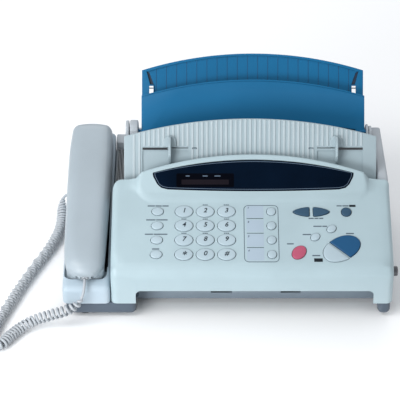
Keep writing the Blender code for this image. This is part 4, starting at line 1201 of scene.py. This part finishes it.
piece("support_plate", placed(back_plate, SUPPORT), blue_plastic, "paper_support", "blue_plastic", "paper_support")
# The fine lines are low ribs in a darker blue: painted shade that stands in for the dark of moulded grooves.
deep_blue = moulded("deep_blue", shade(22, 62, 98), 0.5, grain=0.05, spread=0.1, worn=0)
# A darker blue for the slots' floors, painted shade, and for the bars across the square holes.
floor_blue = moulded("floor_blue", shade(14, 38, 62), 0.6, grain=0.1, spread=0.1, worn=0)
support_centre, support_radius = circle_through((BLUE_RIGHT, 59), (BLUE_MIDDLE, 76), (BLUE_LEFT, 59))
fine_lines = grown(RIBS, deep_blue, count=20, start=BLUE_LEFT + 14.5, pitch=10.3, width=0.5, height=0.5, foot=10.0,
                   arch_middle=support_centre.x, arch_centre=support_centre.y - 2.6, arch_radius=support_radius)
piece("support_lines", placed(fine_lines, shifted(SUPPORT, 0, 0, -1.5)), deep_blue, "paper_support", "blue_plastic")
piece("support_slots", placed(merged(*slot_shades_and_bars), SUPPORT), floor_blue, "paper_support", "blue_plastic")


# The handset
# Two grey-white shells screwed together along a seam: a smooth, crowned back, and an inner
# shell with the two round-cornered ends that hold the earpiece and the microphone.
handset_points = [
    (-12, 4.2), (-6.5, 1.0), (0, 0), (6.5, 1.0), (12, 4.2), (16.2, 9.5), (18.2, 17), (19, 30), (20.4, 75),
    (21.6, 120), (21.6, 160), (20.8, 184), (19.2, 190), (16, 193.5), (8, 195.4), (0, 196), (-8, 195.4),
    (-15.5, 193.5), (-18.8, 189.5), (-19.9, 183), (-21.4, 160), (-21.6, 120), (-21.3, 75), (-20.6, 30),
    (-19.4, 17), (-17.2, 9.5)]


def closed_curve(points, steps):
    """A smooth closed curve through the points."""
    looped = [Vector(p) for p in (points[-1], *points, *points[:2])]
    return [tuple(passing(*looped[i:i + 4], k / steps)) for i in range(len(points)) for k in range(steps)]


handset_plan = closed_curve(handset_points, 3)


def handset_back(x, y, distance):
    crown = 10.2 + 2.2 * math.sin(math.pi * min(max(y / 196, 0), 1))
    reach = 15.0 - 3.0 * eased(20, 45, y)
    share = min(distance / reach, 1)
    return 0.3 + crown * (0.22 + 0.78 * (1 - (1 - share) ** 2.3) ** 0.6)


back_shell = draped(handset_plan, (0, 0.3, 0.8, 1.5, 2.5, 3.8, 5.4), steps_between(-21.6, 21.6, 15),
                    steps_between(0, 196, 40) + [2, 3.5, 7, 9, 11, 13], handset_back, 0.3)
handset_plastic = moulded("handset_plastic", shade(155, 166, 173), 0.36, grain=0.06)
piece("handset_back", placed(back_shell, HANDSET), handset_plastic, "handset", "handset_plastic",
      "handset_back_shell", sharp=60)
inner_shell = plate(handset_plan, -6, 0, 0.3, 2.6)
inner_shell = joined(inner_shell, *[block((-18, 18, low, high, 7, 5), -15, -2, 0, 2.0) for low, high in HANDSET_ENDS])
inner_shell = boolean(inner_shell, block((-4.1, 4.1, -2, 12), -7, -1),
                      *[block((x - 1.3, x + 1.3, -3, 4.0, 0.5), -4.2, -1.4) for x in (-7.4, 7.4)])
piece("handset_front", placed(inner_shell, HANDSET), handset_plastic, "handset", "handset_plastic",
      "handset_inner_shell", sharp=45)
latch_tab = block((-2.4, 2.4, -1.4, 3, 0.6), -0.95, -0.35, 0.2, 0.2)
piece("handset_latch_tab", placed(latch_tab, HANDSET), plug_plastic, "handset", "clear_plug")


def holes_tree():
    """Small round dots laid out in a grid and kept inside a circle."""
    given, node, sum_up, vector, end = tree_of("sound_holes", size=16.0, rows=7, radius=0.8, depth=0.3)
    grid = node("GeometryNodeMeshGrid", {"Size X": given["Size"], "Size Y": given["Size"],
                                         "Vertices X": given["Rows"], "Vertices Y": given["Rows"]})
    spot = node("ShaderNodeVectorMath", {0: node("GeometryNodeInputPosition", {}).outputs[0]}, operation="LENGTH")
    outside = sum_up("GREATER_THAN", spot.outputs["Value"], sum_up("MULTIPLY", given["Size"], 0.52))
    points = node("GeometryNodeDeleteGeometry", {"Geometry": grid.outputs["Mesh"], "Selection": outside},
                  domain="POINT")
    dot = node("GeometryNodeMeshCylinder", {"Vertices": 14, "Radius": given["Radius"], "Depth": given["Depth"]})
    return end(points.outputs[0], dot.outputs["Mesh"])


HOLES = holes_tree()
# The sound holes are not cut: dark discs on the inner shell's ends stand for them, painted shade in place of the
# holes' hollows.
for holes_name, y, size, rows in (("microphone_holes", 28, 9.0, 4), ("earpiece_holes", 168, 16.0, 7)):
    hole_shade_dots = grown(HOLES, dark_plastic, size=size, rows=rows, radius=0.75, depth=0.3)
    piece(holes_name, placed(hole_shade_dots, shifted(HANDSET, 0, y, -15.05)), dark_plastic, "handset", "dark_plastic")
handset_screws = grown(SCREWS, steel, wide=0.1, high=88.0, radius=2.2, head=0.8)
piece("handset_screws", placed(handset_screws, facing_back(0, 99, -6.3, HANDSET)), steel, "handset", "steel")


# The boards
# Green laminate boards with copper tracks: the main board on the floor of the base, with its
# chips and capacitors, and the panel's board with one rubber-capped switch under each key.
def laminate(name):
    """Green solder mask over a net of copper tracks."""
    made = moulded(name, (0.012, 0.085, 0.030), 0.32, grain=0.08, grain_size=500, spread=0.2, worn=0)
    tracks = adder(made.node_tree)("ShaderNodeTexBrick", {
        "Scale": 110.0, "Mortar Size": 0.09, "Color1": (0.010, 0.070, 0.026, 1), "Color2": (0.014, 0.095, 0.034, 1),
        "Mortar": (0.05, 0.20, 0.07, 1), "Vector": made.node_tree.nodes["Texture Coordinate"].outputs["Object"]})
    feed(made.node_tree.nodes["Principled BSDF"], {"Base Color": tracks.outputs["Color"]})
    return made


def parts_tree():
    """Blocks of different sizes in rows, like the parts on a board."""
    given, node, sum_up, vector, end = tree_of("board_parts", wide=100.0, high=60.0, across=8, up=5, smallest=2.0,
                                               largest=7.0, seed=1)
    grid = node("GeometryNodeMeshGrid", {"Size X": given["Wide"], "Size Y": given["High"],
                                         "Vertices X": given["Across"], "Vertices Y": given["Up"]})
    cube = node("GeometryNodeMeshCube", {"Size": (1, 1, 1)})
    stood = node("GeometryNodeTransform", {"Geometry": cube.outputs["Mesh"], "Translation": (0, 0, 0.5)})
    chance = node("FunctionNodeRandomValue", {"Seed": given["Seed"], 0: vector(given["Smallest"], given["Smallest"], 0.8),
                                              1: vector(given["Largest"], given["Largest"], 3.0)},
                  data_type="FLOAT_VECTOR")
    return end(grid.outputs["Mesh"], stood.outputs[0], Scale=chance.outputs[0])


PARTS = parts_tree()
green = laminate("laminate")
for node_name in ("main_board", "panel_board"):
    dress(frame["nodes"][node_name].data, green)
chips = grown(PARTS, dark_plastic, wide=150.0, high=30.0, across=12, up=3, smallest=2.5, largest=9.0, seed=4)
piece("main_board_chips", placed(chips, shifted(PLAN, 22, 172, 10.5)), dark_plastic, "base", "dark_plastic")
cans = [rod(shifted(PLAN, x, 90, 0), 4.0, 10.5, 20, 24, 0.5) for x in (-50, -38, 40, 52)]
can_blue = moulded("capacitor_sleeve", (0.02, 0.03, 0.09), 0.35, grain=0.03)
piece("main_board_capacitors", merged(*cans), can_blue, "base", "dark_plastic")
caps = [plate(ellipse(KEY_COLUMNS[i % 3], KEY_ROWS[i // 3], 4.0, 3.0, 20), -6.7, -6.15, 0.2) for i in range(12)]
membrane = moulded("switch_rubber", (0.30, 0.31, 0.33), 0.7, grain=0.1, worn=0)
piece("key_springs", placed(merged(*caps), PANEL), membrane, "control_panel", "rubber")


# The rollers, the print head and the motor
# Turned steel shafts with rubber or plastic sleeves, a toothed wheel on each roller's end, a
# steel heat sink with fins under the print head, and the feed motor with its brass pinion.
def wheel(teeth, radius, depth):
    """A toothed wheel's outline."""
    points = []
    for i in range(teeth * 4):
        reach = radius if i % 4 in (1, 2) else radius - depth
        angle = 2 * math.pi * i / (teeth * 4)
        points.append((reach * math.cos(angle), reach * math.sin(angle)))
    return points


gear_plastic = moulded("gear_plastic", (0.62, 0.60, 0.53), 0.45, grain=0.05)
for gear_name, gear_body, place, radius in (
        ("platen_gear", "platen_roller", ROLLER_HOLES[0], 11),
        ("take_up_gear", "ribbon_take_up_spool", ROLLER_HOLES[1], 10),
        ("supply_gear", "ribbon_supply_spool", ROLLER_HOLES[2], 9)):
    gear = placed(plate(wheel(26, radius, 1.1), -92.4, -89.6, 0.2, 0.2), axle(*place))
    piece(gear_name, gear, gear_plastic, gear_body, "dark_plastic")
brass = metal("brass", (0.72, 0.52, 0.22), 0.3)
fins = straight_ribs(steel, 12, count=36, start=-84.0, pitch=6.0, width=1.4, height=4.0)
piece("heat_sink_fins", placed(fins, facing_back(45, 98, 24, PLAN)), steel, "base", "steel")
pinion = placed(plate(wheel(12, 5.2, 1.0), -73.9, -69.5, 0.2, 0.2), axle(164, 32))
piece("motor_pinion", pinion, brass, "base", "steel")
